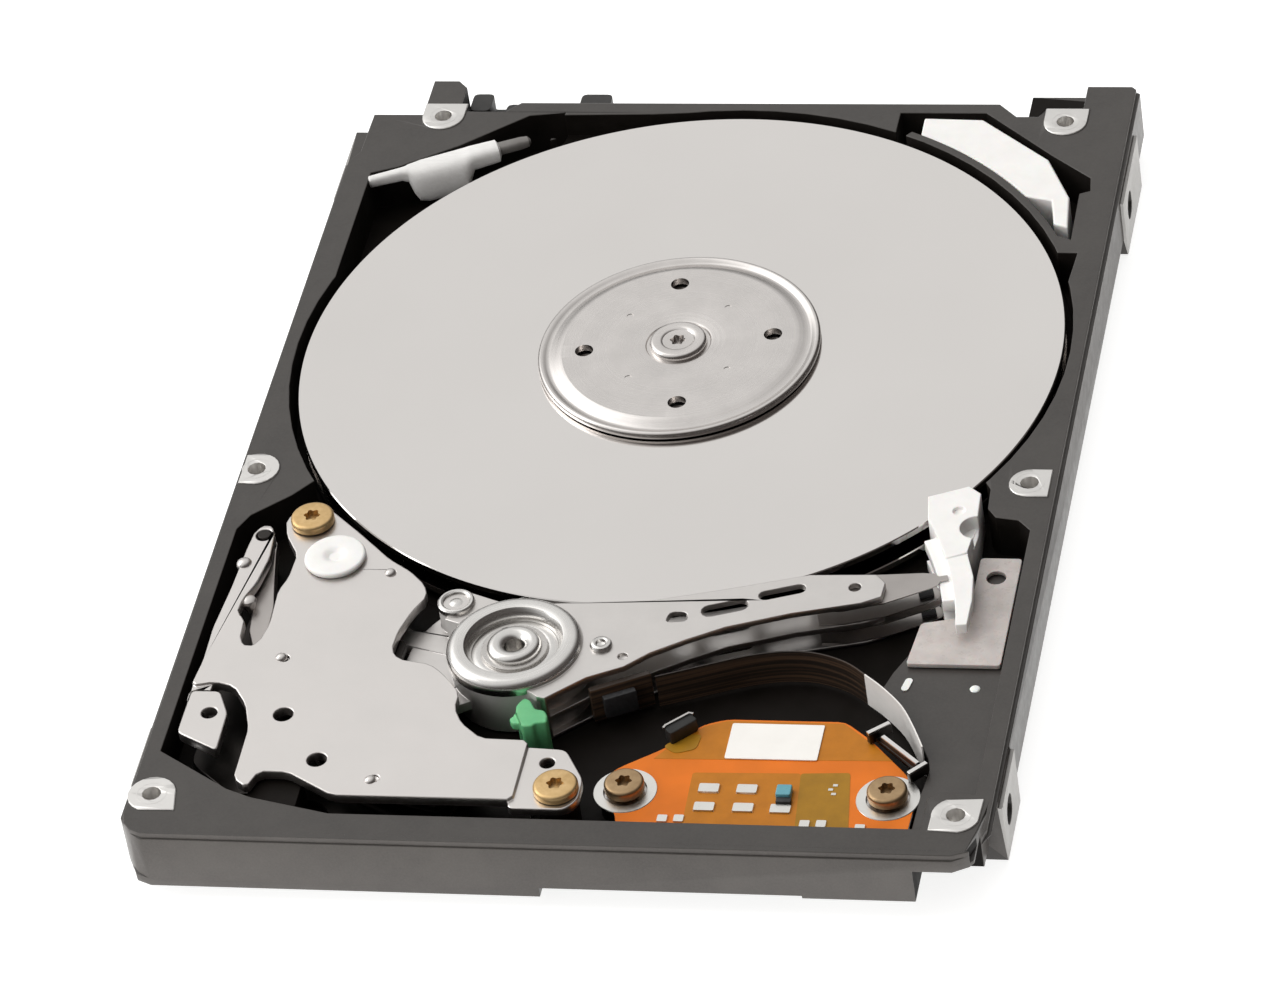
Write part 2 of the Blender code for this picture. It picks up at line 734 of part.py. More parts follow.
def head_gimbals():
    """Four load beams with their sliders, two facing up and two facing down."""
    slider = [from_pivot(SLIDER_AT + dr, dw) for dr, dw in ((-0.6, -0.5), (0.6, -0.5), (0.6, 0.5), (-0.6, 0.5))]
    for i, bottom in enumerate(BEAM_BOTTOMS):
        beam = plate(beam_outline(), bottom, bottom + BEAM_THICK)
        build(f"load_beam_{i + 1}", beam, steel(), PIVOT)
        faces_down = i % 2 == 0
        low = bottom - 0.02 - SLIDER_THICK if faces_down else bottom + BEAM_THICK + 0.02
        build(f"head_slider_{i + 1}", plate(slider, low, low + SLIDER_THICK), black_plastic(), PIVOT)


def preamp():
    """The amplifier chip on the stiffener at the arm's side, where the moving flex starts."""
    stiffener = [(0.4, -31.8), (4.9, -29.5), (4.6, -29.1), (0.1, -31.35)]
    build("arm_flex_stiffener", plate(stiffener, 3.0, 6.3), polyimide(), PIVOT)
    chip = [(1.5, -32.1), (3.9, -30.9), (3.6, -30.4), (1.2, -31.6)]
    build("preamp_chip", plate(chip, 3.7, 5.7), black_plastic(), PIVOT)


# ---------------------------------------------------------------- voice coil motor, fixed parts


def yoke_outline():
    """The top plate: its left finger, its slot, the notches round the pivot and the near edge."""
    right = [(-27.6, -10.6), (-25.4, -10.9), (-22.1, -14.0), (-19.0, -17.1), (-16.9, -18.6), (-15.4, -20.2)]
    upper_notch = [(-14.9, -21.6), (-15.8, -23.6), (-16.4, -26.0), (-16.5, -28.2), (-15.7, -29.3)]
    tongue = [(-13.0, -29.8), (-11.7, -30.9), (-9.9, -33.2)]
    lower_notch = [(-9.9, -35.0), (-9.0, -36.7), (-7.1, -38.4)]
    near = [(-3.2, -38.5), (-3.2, -45.4), (-17.8, -45.4), (-21.9, -42.9), (-24.2, -42.9), (-24.8, -44.8)]
    left = [(-26.1, -43.8), (-26.2, -38.0), (-27.1, -35.1), (-28.5, -33.0), (-30.2, -32.5), (-32.1, -33.0)]
    left += [(-31.8, -30.0), (-31.9, -26.0), (-31.5, -21.0), (-31.3, -16.0), (-31.1, -13.8), (-30.2, -12.9)]
    inner = [(-29.4, -13.8), (-29.1, -17.2), (-29.5, -20.4), (-30.2, -22.4), (-30.3, -24.2), (-29.5, -24.7)]
    inner += [(-29.3, -27.4), (-28.5, -28.3), (-27.7, -27.6), (-27.3, -25.4), (-27.5, -21.3), (-27.0, -19.6)]
    inner += [(-26.9, -16.8), (-28.3, -14.4), (-28.8, -12.4)]
    return right + upper_notch + tongue + lower_notch + near + left + inner


def top_yoke():
    low, high = TOP_YOKE
    yoke = build("top_yoke", plate(rounded(yoke_outline(), 0.4, 1), low, high), nickel())
    tab = rounded([(-3.6, -39.0), (-0.1, -39.2), (1.9, -42.6), (1.9, -45.0), (1.0, -46.1), (-3.6, -46.1)], 0.6, 3)
    join(yoke, "screw_tab", plate(tab, low - 0.15, high - 0.3))
    foot = rounded([(-32.0, -33.4), (-29.6, -33.4), (-28.4, -36.0), (-28.3, -40.4), (-32.0, -38.4)], 0.4, 2)
    join(yoke, "corner_foot", plate(foot, low - 0.25, high - 0.2))
    join(yoke, "corner_bridge", plate(rectangle(-32.05, -34.6, -30.4, -32.6), low - 0.2, high - 0.25))
    holes = (
        (-23.7, -36.2, 0.8),
        (-19.8, -41.4, 0.8),
        (-29.9, -36.0, 0.65),
        (LATCH_PIN[0], LATCH_PIN[1], 0.7),
        (-1.3, -40.8, 0.6),
        (YOKE_SCREWS[0][0], YOKE_SCREWS[0][1], 1.05),
        (YOKE_SCREWS[1][0], YOKE_SCREWS[1][1], 1.05),
        (OUTER_STOP[0], OUTER_STOP[1], 1.1),
    )
    for i, (x, y, radius) in enumerate(holes):
        cut(yoke, f"hole_{i + 1}", disc((x, y), radius, 0, 10, 20))
    for i, centre in enumerate(((-18.5, -18.9), (-25.1, -29.5), (-14.7, -43.4))):
        cut(yoke, f"dimple_{i + 1}", disc(centre, 0.4, high - 0.2, 10, 12))


OUTER_STOP = (-23.5, -17.3)


def bottom_yoke():
    outline = [(-31.6, -38.0), (-31.2, -26.0), (-30.6, -19.4), (-25.6, -14.9), (-22.0, -16.4), (-15.8, -22.4)]
    outline += [(-16.4, -28.0), (-13.0, -31.6), (-10.6, -35.4), (-7.4, -38.4), (-3.0, -38.6), (-2.4, -45.9)]
    outline += [(-17.6, -46.3), (-19.8, -42.2), (-26.0, -41.4), (-27.5, -41.6)]
    holes = [circle(OUTER_STOP, 1.1, 20)]
    build("bottom_yoke", plate(rounded(outline[::-1], 0.8, 2), *BOTTOM_YOKE, holes), nickel())


def magnets():
    outline = sector(PIVOT, MAGNET_INNER_R, MAGNET_OUTER_R, MAGNET_FROM, MAGNET_TO, 18)
    for name, level in (("top_magnet", TOP_MAGNET), ("bottom_magnet", BOTTOM_MAGNET)):
        build(name, plate(rounded(outline, 0.6, 1), *level), nickel())


def crash_stops():
    pin = [(0.85, 2.7), (0.85, 7.15), (2.5, 7.2), (2.6, 7.45), (2.2, 7.75), (0.7, 7.75), (0.5, 7.55)]
    build("outer_crash_stop", turned(pin, OUTER_STOP, 24, capped=True), white_plastic())
    post = [(-4.62, -33.1), (-4.87, -33.4), (-5.16, -34.1), (-5.0, -35.1), (-4.5, -36.1), (-4.25, -36.5)]
    post += [(-3.4, -36.45), (-3.2, -36.1), (-2.3, -36.0), (-2.4, -35.1), (-2.8, -34.5), (-3.55, -34.4), (-4.1, -33.4)]
    green = material("green_plastic", (0.25, 0.68, 0.38), 0.4, 0.0)
    stop = build("inner_crash_stop", plate(rounded(post, 0.2, 2), 2.65, 6.7), green)
    tongue = [(-4.3, -34.9), (-5.0, -35.0), (-5.45, -35.6), (-5.1, -36.15), (-4.4, -36.2)]
    join(stop, "tongue", plate(rounded(tongue, 0.15, 2), 5.9, 6.65))


def inertia_latch():
    """A lever under the yoke's finger. A jolt swings its hook in front of the parked coil."""
    outline = [(-31.1, -14.8), (-30.9, -13.7), (-30.2, -13.4), (-29.4, -13.8), (-29.2, -15.4), (-28.6, -18.6)]
    outline += [(-27.9, -22.0), (-27.7, -25.6), (-26.2, -26.3), (-26.3, -27.0), (-28.4, -27.3), (-29.3, -25.0), (-29.9, -20.0)]
    lever = plate(rounded(outline, 0.3, 2), 4.4, 5.9, [circle(LATCH_PIN, 0.75, 20)])
    build("latch_lever", lever, steel(), LATCH_PIN)
    build("latch_pin", disc(LATCH_PIN, 0.55, 2.7, 7.2, 20), steel())


# ---------------------------------------------------------------- ramp, filters and flex circuit


def ramp():
    """The parking ramp: a head block beside the disks, a guard finger, two shelves and its mounting plate."""
    block = arc(PIVOT, 35.3, 28.5, 20.0, 8)
    block += [(28.3, -14.8), (28.6, -11.5), (28.4, -7.4), (27.3, -6.5), (24.1, -7.9)]
    body = build("parking_ramp", plate(block, 2.8, 6.9), white_plastic())
    finger = arc(PIVOT, 35.3, 22.0, 6.6, 8)
    finger += [(29.5, -23.45), (29.5, -20.5), (29.2, -17.6), (28.3, -14.6), (28.6, -12.5)]
    join(body, "finger", plate(finger, 5.9, 6.85))
    for i, (low, high) in enumerate(((3.16, 4.24), (5.22, 6.32))):
        shelf = sector(PIVOT, 34.3, 36.0, 12.6, 25.6, 10)
        join(body, f"shelf_{i + 1}", plate(shelf, low, high))
    for i, bottom in enumerate((LOWER_DISK, UPPER_DISK)):
        gap = disc(SPINDLE, DISK_R + 0.5, bottom - 0.25, bottom + DISK_THICK + 0.25, FINE)
        cut(body, f"disk_slot_{i + 1}", gap)
    cut(body, "dimple", disc((26.9, -9.6), 0.5, 6.6, 10, 16))
    cut(body, "scoop", disc((28.6, -11.6), 1.35, 5.6, 10, 24))
    bracket = [(24.8, -26.2), (32.4, -26.2), (32.4, -13.2), (29.0, -13.2), (29.0, -20.4), (25.3, -21.3)]
    holes = [circle((30.6, -15.6), 0.8, 16)]
    build("ramp_bracket", plate(rounded(bracket, 0.3, 2), 4.6, 5.0, holes), white_plastic())


def filters():
    axis = ((-31.2, 34.3), (-19.9, 39.6))
    length = math.dist(*axis)
    along = [(axis[1][i] - axis[0][i]) / length for i in range(2)]
    across = (-along[1], along[0])

    def place(distance, offset):
        return tuple(axis[0][i] + along[i] * distance + across[i] * offset for i in range(2))

    back = ((0, 0.6), (2.4, 0.7), (3.2, 1.0), (8.0, 1.2), (8.7, 0.9), (10.8, 0.8), (11.0, 0.5), (length, 0.4))
    front = ((0, 0.7), (2.4, 0.8), (3.2, 1.9), (8.0, 2.0), (8.7, 1.0), (10.8, 0.8), (11.0, 0.5), (length, 0.4))
    outline = [place(d, -w) for d, w in front] + [place(d, w) for d, w in reversed(back)]
    strip = build("recirculation_filter", plate(outline, 5.2, 6.25), white_plastic())
    roll = [place(d, w) for d, w in ((3.2, -1.9), (8.0, -2.0), (8.0, 1.2), (3.2, 1.0))]
    join(strip, "roll", plate(rounded(roll, 0.4, 3), 2.75, 6.3))
    inner_edge = arc(SPINDLE, SHROUD_R + 0.1, 61.5, 38.5, 10)
    breather = [*inner_edge, (28.9, 32.2), (29.5, 28.9), (30.8, 28.4), (30.4, 32.6), (27.9, 37.9), (21.4, 43.6), (16.2, 43.8)]
    build("desiccant_cartridge", plate(breather, 2.8, 6.4), white_plastic())


def flex_board():
    outline = [(5.0, -46.5), (27.6, -46.5), (27.8, -41.0), (26.7, -38.6), (23.2, -34.6), (20.9, -32.6), (11.4, -32.6)]
    outline += [(9.6, -33.3), (6.9, -36.2), (3.6, -38.6), (2.4, -40.2), (2.4, -42.2), (4.2, -43.4)]
    outline = rounded(outline, 0.6, 2)
    holes = [circle(place, 1.95, 24) for place in FLEX_SCREWS]
    build("flex_bracket", plate(outline, 3.85, FLEX_LEVEL - 0.2, [circle(p, 1.0, 20) for p in FLEX_SCREWS]), nickel())
    build("flex_board", plate(outline, FLEX_LEVEL - 0.12, FLEX_LEVEL, holes), polyimide())
    for i, place in enumerate(FLEX_SCREWS):
        screw(f"flex_screw_{i + 1}", place, 3.0, 4.65, 5.5, 1.6, 0.75, brown_screw(), 0.65)
    label = rectangle(11.9, -37.3, 19.4, -33.1)
    build("board_label", plate(label, FLEX_LEVEL + 0.05, FLEX_LEVEL + 0.13), white_plastic())
    build("flex_keeper", plate(rounded(rectangle(6.2, -35.1, 8.4, -32.7), 0.3, 2), FLEX_LEVEL + 0.1, 5.7), black_plastic())


def flex_clip():
    """The folded clip that grips the loop's fixed end: a rail with a hook at each end."""
    rail = [(24.1, -35.25), (24.4, -34.9), (27.75, -38.05), (27.45, -38.4)]
    clip = build("flex_clip", plate(rail, 4.5, 5.3), nickel())
    upper_hook = [(23.0, -34.95), (23.35, -35.3), (24.9, -33.9), (24.6, -33.55)]
    lower_hook = [(26.85, -39.3), (27.2, -39.65), (28.45, -38.35), (28.1, -38.0)]
    spine = [(23.7, -34.9), (24.15, -34.45), (28.0, -38.3), (27.6, -38.8)]
    join(clip, "spine", plate(spine, 4.48, 4.85))
    join(clip, "upper_hook", plate(upper_hook, 4.52, 5.5))
    join(clip, "lower_hook", plate(lower_hook, 4.52, 5.4))


def flex_loop():
    """The moving flex, a thin band on edge that runs from the arm round to the clip."""
    route = [(5.2, -29.5), (7.5, -28.6), (10.0, -27.6), (12.5, -26.7), (15.0, -26.2), (17.6, -26.3)]
    route += [(20.2, -27.3), (22.3, -29.0), (23.9, -30.5), (25.5, -32.4), (26.7, -34.6), (27.8, -37.0)]
    side = []
    for i, point in enumerate(route):
        before = route[max(i - 1, 0)]
        after = route[min(i + 1, len(route) - 1)]
        dx = after[0] - before[0]
        dy = after[1] - before[1]
        size = math.hypot(dx, dy)
        side.append((point[0] + dy / size * 0.12, point[1] - dx / size * 0.12))
    band = route + side[::-1]
    build("flex_loop", plate(band, 2.8, 6.05), polyimide())


# ---------------------------------------------------------------- the whole drive


def main():
    for obj in list(bpy.data.objects):
        bpy.data.objects.remove(obj, do_unlink=True)
    base = casting_body()
    casting_cavity(base)
    casting_supports(base)
    casting_pads(base)
    casting_openings(base)
    circuit_board()
    sata_connector()
    head_connector()
    spindle_motor()
    disks()
    disk_clamp()
    actuator_arm()
    pivot_bearing()
    voice_coil()
    head_gimbals()
    preamp()
    top_yoke()
    bottom_yoke()
    magnets()
    crash_stops()
    inertia_latch()
    for i, (x, y, seat) in enumerate(YOKE_SCREWS):
        screw(f"yoke_screw_{i + 1}", (x, y), 3.1, seat + 0.02, seat + 0.7, 1.85, 0.8, brown_screw())
    ramp()
    filters()
    flex_board()
    flex_clip()
    flex_loop()


main()
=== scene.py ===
"""The looks of an open 2.5-inch hard disk drive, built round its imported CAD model.

Every position is in millimetres in the drive's own frame, with +Y towards the connector and +Z up,
and MM turns it into metres. Most CAD nodes get a finished copy with rounded edges and a worked
surface. The pieces that a viewer looks at first, such as the disks, the clamp and the flex board,
are built here with more detail than the CAD holds.
"""

import json
import math

import bmesh
import bpy
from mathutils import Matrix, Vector
from mathutils.geometry import tessellate_polygon


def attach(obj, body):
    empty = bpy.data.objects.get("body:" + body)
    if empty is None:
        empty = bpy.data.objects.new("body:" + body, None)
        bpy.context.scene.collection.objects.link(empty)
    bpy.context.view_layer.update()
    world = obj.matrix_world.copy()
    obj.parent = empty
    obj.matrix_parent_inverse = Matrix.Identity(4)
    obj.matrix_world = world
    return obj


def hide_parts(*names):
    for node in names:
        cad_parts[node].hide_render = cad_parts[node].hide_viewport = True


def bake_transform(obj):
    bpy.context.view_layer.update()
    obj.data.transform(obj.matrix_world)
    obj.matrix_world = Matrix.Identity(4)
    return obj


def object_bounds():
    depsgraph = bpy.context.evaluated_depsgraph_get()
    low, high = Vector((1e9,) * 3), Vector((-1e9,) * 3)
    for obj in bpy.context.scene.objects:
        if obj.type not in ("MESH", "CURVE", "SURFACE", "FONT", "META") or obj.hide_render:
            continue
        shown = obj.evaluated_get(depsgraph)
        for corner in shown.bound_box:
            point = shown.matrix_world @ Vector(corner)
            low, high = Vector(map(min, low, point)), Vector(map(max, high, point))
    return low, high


MM = 0.001
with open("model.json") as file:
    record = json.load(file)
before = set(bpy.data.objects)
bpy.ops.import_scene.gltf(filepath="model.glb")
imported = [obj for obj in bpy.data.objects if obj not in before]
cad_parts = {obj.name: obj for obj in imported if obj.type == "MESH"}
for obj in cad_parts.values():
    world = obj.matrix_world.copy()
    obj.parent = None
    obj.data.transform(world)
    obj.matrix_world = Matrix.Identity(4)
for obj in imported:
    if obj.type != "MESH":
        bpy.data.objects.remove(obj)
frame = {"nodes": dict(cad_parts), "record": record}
cad_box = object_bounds()
nodes = frame["nodes"]

SPINDLE = (0.0, 11.5)
PIVOT = (-6.5, -27.6)
FLEX_SCREWS = ((4.7, -41.2), (25.6, -41.3))
YOKE_SCREWS = ((-26.4, -12.7, 7.2), (0.0, -43.9, 6.85))
OUTER_STOP = (-23.5, -17.3)
YOKE_DOTS = ((-18.6, -18.8), (-25.4, -29.4), (-15.0, -43.6))
BOARD_SCREWS = ((-25.6, 40.0), (25.6, 40.0), (-25.6, -12.0), (25.6, -12.0))
CHIPS = (("controller", 9.0, -14.0, 7.0, 16), ("driver", -17.0, -6.0, 4.0, 9))
COVER_BOSSES = (
    (-27.0, 43.6),
    (28.7, 43.1),
    (-33.0, -5.35),
    (32.1, -5.6),
    (-32.5, -45.3),
    (31.7, -45.3),
)
PAD_TOP = 6.62
DISK_R = 32.5
DISK_BORE_R = 10.0
DISK_THICK = 0.65
FILM_TOP = 4.4
BOARD_UNDERSIDE = 1.0
SHARP = 32
CAD_FLAT = math.radians(0.6)
OWN_FLAT = math.radians(0.5)


# ---------------------------------------------------------------- outlines and solids


def polar(centre, radius, degrees):
    angle = math.radians(degrees)
    return (centre[0] + radius * math.cos(angle), centre[1] + radius * math.sin(angle))


def arc(centre, radius, start, end, steps):
    return [polar(centre, radius, start + (end - start) * i / steps) for i in range(steps + 1)]


def circle(centre, radius, count=64):
    return arc(centre, radius, 0.0, 360.0 * (count - 1) / count, count - 1)


def rectangle(x0, y0, x1, y1):
    return [(x0, y0), (x1, y0), (x1, y1), (x0, y1)]


def rounded(points, radius, steps=5):
    """The same polygon with each corner turned into a curve of about this radius."""
    result = []
    for i, point in enumerate(points):
        here = Vector(point)
        before = Vector(points[i - 1])
        after = Vector(points[(i + 1) % len(points)])
        reach = min(radius, (before - here).length * 0.45, (after - here).length * 0.45)
        start = here + (before - here).normalized() * reach
        end = here + (after - here).normalized() * reach
        for k in range(steps + 1):
            t = k / steps
            curve = start * (1 - t) ** 2 + here * 2 * t * (1 - t) + end * t**2
            result.append((curve.x, curve.y))
    return result


def plate(outline, bottom, top, holes=()):
    """A flat plate with holes through it, as points and faces."""
    loops = [list(outline)] + [list(hole) for hole in holes]
    flat = [point for loop in loops for point in loop]
    count = len(flat)
    points = [(x, y, bottom) for x, y in flat] + [(x, y, top) for x, y in flat]
    caps = tessellate_polygon([[Vector((x, y, 0)) for x, y in loop] for loop in loops])
    faces = [tuple(cap) for cap in caps]
    faces += [tuple(i + count for i in reversed(cap)) for cap in caps]
    first = 0
    for loop in loops:
        size = len(loop)
        for i in range(size):
            a = first + i
            b = first + (i + 1) % size
            faces.append((a, b, b + count, a + count))
        first += size
    return points, faces


def turned(profile, centre, count=128, capped=False):
    """A profile of (radius, height) points turned about a vertical axis."""
    points = []
    for radius, height in profile:
        points += [(x, y, height) for x, y in circle(centre, radius, count)]
    faces = []
    rings = len(profile)
    for k in range(rings - 1 if capped else rings):
        lower = k * count
        upper = (k + 1) % rings * count
        for i in range(count):
            j = (i + 1) % count
            faces.append((lower + i, lower + j, upper + j, upper + i))
    if capped:
        faces.append(tuple(range(count)))
        faces.append(tuple(range((rings - 1) * count, rings * count)))
    return points, faces


def block(x, y, half_x, half_y, bottom, top):
    """An upright box round a point."""
    return plate(rectangle(x - half_x, y - half_y, x + half_x, y + half_y), bottom, top)


def together(*solids):
    """Several solids as one."""
    points = []
    faces = []
    for more_points, more_faces in solids:
        start = len(points)
        points += more_points
        faces += [tuple(i + start for i in face) for face in more_faces]
    return points, faces


# ---------------------------------------------------------------- materials


def ranged(tree, value, low, high, out_low, out_high):
    """A node value carried from one range of numbers to another."""
    node = tree.nodes.new("ShaderNodeMapRange")
    for i, number in enumerate((low, high, out_low, out_high)):
        node.inputs[i + 1].default_value = number
    tree.links.new(value, node.inputs[0])
    return node.outputs[0]


class Surface:
    """A Principled material with procedural colour, roughness and bump, measured in millimetres."""

    def __init__(self, name, **values):
        self.material = bpy.data.materials.new(name)
        self.material.use_nodes = True
        self.tree = self.material.node_tree
        self.shader = self.tree.nodes["Principled BSDF"]
        for socket, value in values.items():
            self.shader.inputs[socket.replace("_", " ")].default_value = value
        where = self.node("ShaderNodeTexCoord")
        self.mm = self.scaled(where.outputs["Object"], (1000, 1000, 1000))

    def node(self, kind, **settings):
        made = self.tree.nodes.new(kind)
        for key, value in settings.items():
            setattr(made, key, value)
        return made

    def link(self, source, target):
        self.tree.links.new(source, target)

    def scaled(self, vector, scale, move=(0, 0, 0), turn=(0, 0, 0)):
        mapping = self.node("ShaderNodeMapping")
        mapping.inputs["Location"].default_value = move
        mapping.inputs["Rotation"].default_value = turn
        mapping.inputs["Scale"].default_value = scale
        self.link(vector, mapping.inputs["Vector"])
        return mapping.outputs[0]

    def noise(self, per_mm, detail=4.0, roughness=0.6, stretch=(1, 1, 1), turn=0.0):
        texture = self.node("ShaderNodeTexNoise")
        texture.inputs["Scale"].default_value = per_mm
        texture.inputs["Detail"].default_value = detail
        texture.inputs["Roughness"].default_value = roughness
        vector = self.mm
        if turn:
            vector = self.scaled(vector, (1, 1, 1), turn=(0, 0, turn))
        if stretch != (1, 1, 1):
            vector = self.scaled(vector, stretch)
        self.link(vector, texture.inputs["Vector"])
        return texture.outputs["Fac"]

    def rings(self, centre, per_mm, detail=3.0):
        """Fine turning lines round an axis."""
        moved = self.scaled(self.mm, (1, 1, 0), move=(-centre[0], -centre[1], 0))
        length = self.node("ShaderNodeVectorMath", operation="LENGTH")
        self.link(moved, length.inputs[0])
        texture = self.node("ShaderNodeTexNoise", noise_dimensions="1D")
        texture.inputs["Scale"].default_value = per_mm
        texture.inputs["Detail"].default_value = detail
        self.link(length.outputs["Value"], texture.inputs["W"])
        return texture.outputs["Fac"]

    def span(self, value, *limits):
        return ranged(self.tree, value, *limits)

    def mix(self, factor, first, second, blend="MIX"):
        mixer = self.node("ShaderNodeMix", data_type="RGBA", blend_type=blend)
        if isinstance(factor, float):
            mixer.inputs[0].default_value = factor
        else:
            self.link(factor, mixer.inputs[0])
        for socket, colour in ((mixer.inputs[6], first), (mixer.inputs[7], second)):
            if isinstance(colour, tuple):
                socket.default_value = (*colour, 1.0)
            else:
                self.link(colour, socket)
        return mixer.outputs[2]

    def colour(self, output):
        self.link(output, self.shader.inputs["Base Color"])

    def shades(self, pattern, first, second, low=0.3, high=0.7):
        """Colour that goes from the first shade to the second with a pattern."""
        self.colour(self.mix(self.span(pattern, low, high, 0.0, 1.0), first, second))

    def rough(self, pattern, least, most):
        """Roughness that goes from least to most with a pattern."""
        self.link(self.span(pattern, 0.3, 0.7, least, most), self.shader.inputs["Roughness"])

    def bump(self, height, strength, depth_mm):
        bump = self.node("ShaderNodeBump")
        bump.inputs["Strength"].default_value = strength
        bump.inputs["Distance"].default_value = depth_mm * MM
        self.link(height, bump.inputs["Height"])
        previous = self.shader.inputs["Normal"].links
        if previous:
            self.link(previous[0].from_socket, bump.inputs["Normal"])
        self.link(bump.outputs[0], self.shader.inputs["Normal"])


COAT_SHADES = ((0.038, 0.034, 0.0315), (0.052, 0.047, 0.043), (0.070, 0.064, 0.058))


def coat_material(name, light):
    """Dark grey electro-coat on a die casting: a cloudy tone with a fine orange-peel grain."""
    s = Surface(name, Metallic=0.0, IOR=1.5)
    clouds = s.span(s.noise(0.25, 5.0, 0.65), 0.3, 0.7, 0.0, 1.0)
    grain = s.noise(5.0, 4.0, 0.7)
    shades = [tuple(c * light for c in shade) for shade in COAT_SHADES]
    base = s.mix(clouds, shades[0], shades[1])
    speck = s.span(grain, 0.35, 0.75, 0.0, 0.45)
    s.colour(s.mix(speck, base, shades[2]))
    s.rough(s.noise(1.2, 3.0), 0.30, 0.40)
    s.bump(grain, 0.2, 0.02)
    s.bump(s.noise(0.9, 3.0, 0.5), 0.2, 0.04)
    return s.material


def well_shade_material():
    """The same coat with painted shade for the well: rougher and nearly black on the faces down in the
    well, where shade falls.
    """
    s = Surface("casting_well_painted_shade", Metallic=0.0, IOR=1.4, Specular_IOR_Level=0.15)
    s.shades(s.noise(0.3, 4.0, 0.6), (0.005, 0.004, 0.003), (0.010, 0.008, 0.007))
    s.rough(s.noise(1.2, 3.0), 0.5, 0.65)
    s.bump(s.noise(4.0, 3.0), 0.2, 0.02)
    return s.material


def machined_material(name, colour, roughness=0.3, turn=0.0):
    """Milled metal with faint parallel tool lines and a slightly uneven sheen."""
    s = Surface(name, Metallic=1.0)
    lines = s.noise(1.6, 3.0, 0.6, stretch=(0.12, 6.0, 6.0), turn=turn)
    clouds = s.noise(0.35, 4.0, 0.6)
    dark = tuple(c * 0.94 for c in colour)
    s.shades(clouds, colour, dark)
    s.rough(s.noise(2.5, 3.0, 0.6), roughness - 0.05, roughness + 0.06)
    s.bump(lines, 0.1, 0.006)
    return s.material


def turned_material(name, centre, colour, roughness=0.25):
    """Metal turned on a lathe, with fine rings round its axis."""
    s = Surface(name, Metallic=1.0)
    rings = s.rings(centre, 4.0)
    dark = tuple(c * 0.93 for c in colour)
    s.shades(s.noise(0.4, 4.0), colour, dark, 0.35, 0.65)
    s.rough(rings, roughness - 0.05, roughness + 0.05)
    s.bump(rings, 0.08, 0.01)
    return s.material


def disk_material():
    """A polished recording disk: a near mirror with a trace of haze in rings."""
    s = Surface("recording_disk", Metallic=1.0)
    haze = s.rings(SPINDLE, 0.6, 4.0)
    cloud = s.noise(0.05, 3.0, 0.5)
    s.shades(cloud, (0.80, 0.775, 0.755), (0.775, 0.75, 0.73))
    s.rough(haze, 0.07, 0.11)
    return s.material


def plated_material(name, light, dark):
    """Plated pressed steel: soft satin with a fine even grain."""
    s = Surface(name, Metallic=1.0)
    s.shades(s.noise(0.12, 4.0, 0.6), light, dark)
    s.rough(s.noise(1.0, 4.0), 0.30, 0.38)
    s.bump(s.noise(7.0, 3.0, 0.6), 0.16, 0.012)
    return s.material


def screw_material(name, light, dark):
    """Brown passivated screw steel, darker in patches where the film is thicker."""
    s = Surface(name, Metallic=0.9)
    s.shades(s.noise(1.4, 4.0, 0.6), light, dark)
    s.rough(s.noise(3.0, 3.0), 0.3, 0.45)
    s.bump(s.noise(6.0, 2.0), 0.15, 0.01)
    return s.material


def plastic_material(name, first, second, roughness=0.45, grain=4.0, soften=0.0):
    """Moulded plastic with a faint flow tone and a fine mould texture."""
    s = Surface(name, Metallic=0.0, IOR=1.5)
    if soften:
        s.shader.inputs["Subsurface Weight"].default_value = soften
        s.shader.inputs["Subsurface Scale"].default_value = 0.4 * MM
    s.shades(s.noise(0.5, 4.0), first, second)
    s.rough(s.noise(1.5, 3.0), roughness - 0.06, roughness + 0.06)
    s.bump(s.noise(grain, 4.0, 0.6), 0.25, 0.02)
    return s.material


def filter_material():
    """White fibrous filter cloth."""
    s = Surface("filter_cloth", Metallic=0.0)
    fibre = s.noise(2.4, 6.0, 0.75, stretch=(0.5, 1.6, 1.0))
    s.shades(fibre, (0.80, 0.79, 0.775), (0.90, 0.895, 0.88), 0.35, 0.7)
    s.rough(fibre, 0.7, 0.85)
    s.bump(fibre, 0.5, 0.08)
    return s.material


def film_material():
    """Orange polyimide film over copper, with a soft gloss and slightly deeper patches."""
    s = Surface("polyimide_film", Metallic=0.0, IOR=1.4, Specular_IOR_Level=0.25)
    s.shades(s.noise(0.22, 3.0, 0.5), (0.78, 0.19, 0.018), (0.66, 0.165, 0.016), 0.35, 0.65)
    s.rough(s.noise(1.5, 3.0), 0.35, 0.45)
    s.bump(s.noise(0.8, 3.0, 0.5), 0.2, 0.03)
    return s.material


def copper_area_material(name, first, second):
    """The tone of the film where copper lies below it."""
    s = Surface(name, Metallic=0.0, IOR=1.4, Specular_IOR_Level=0.3)
    s.shades(s.noise(0.7, 4.0), first, second)
    s.rough(s.noise(2.0, 3.0), 0.32, 0.42)
    s.bump(s.noise(2.0, 3.0), 0.15, 0.01)
    return s.material


def loop_material():
    """The dark moving flex, with a faint line for each conductor along its length."""
    s = Surface("flex_loop_film", Metallic=0.0, IOR=1.5)
    lines = s.noise(2.2, 1.0, 0.4, stretch=(0.02, 0.02, 2.2))
    s.shades(lines, (0.018, 0.013, 0.010), (0.075, 0.045, 0.028), 0.45, 0.6)
    s.rough(s.noise(1.0, 3.0), 0.32, 0.45)
    s.bump(lines, 0.3, 0.02)
    return s.material


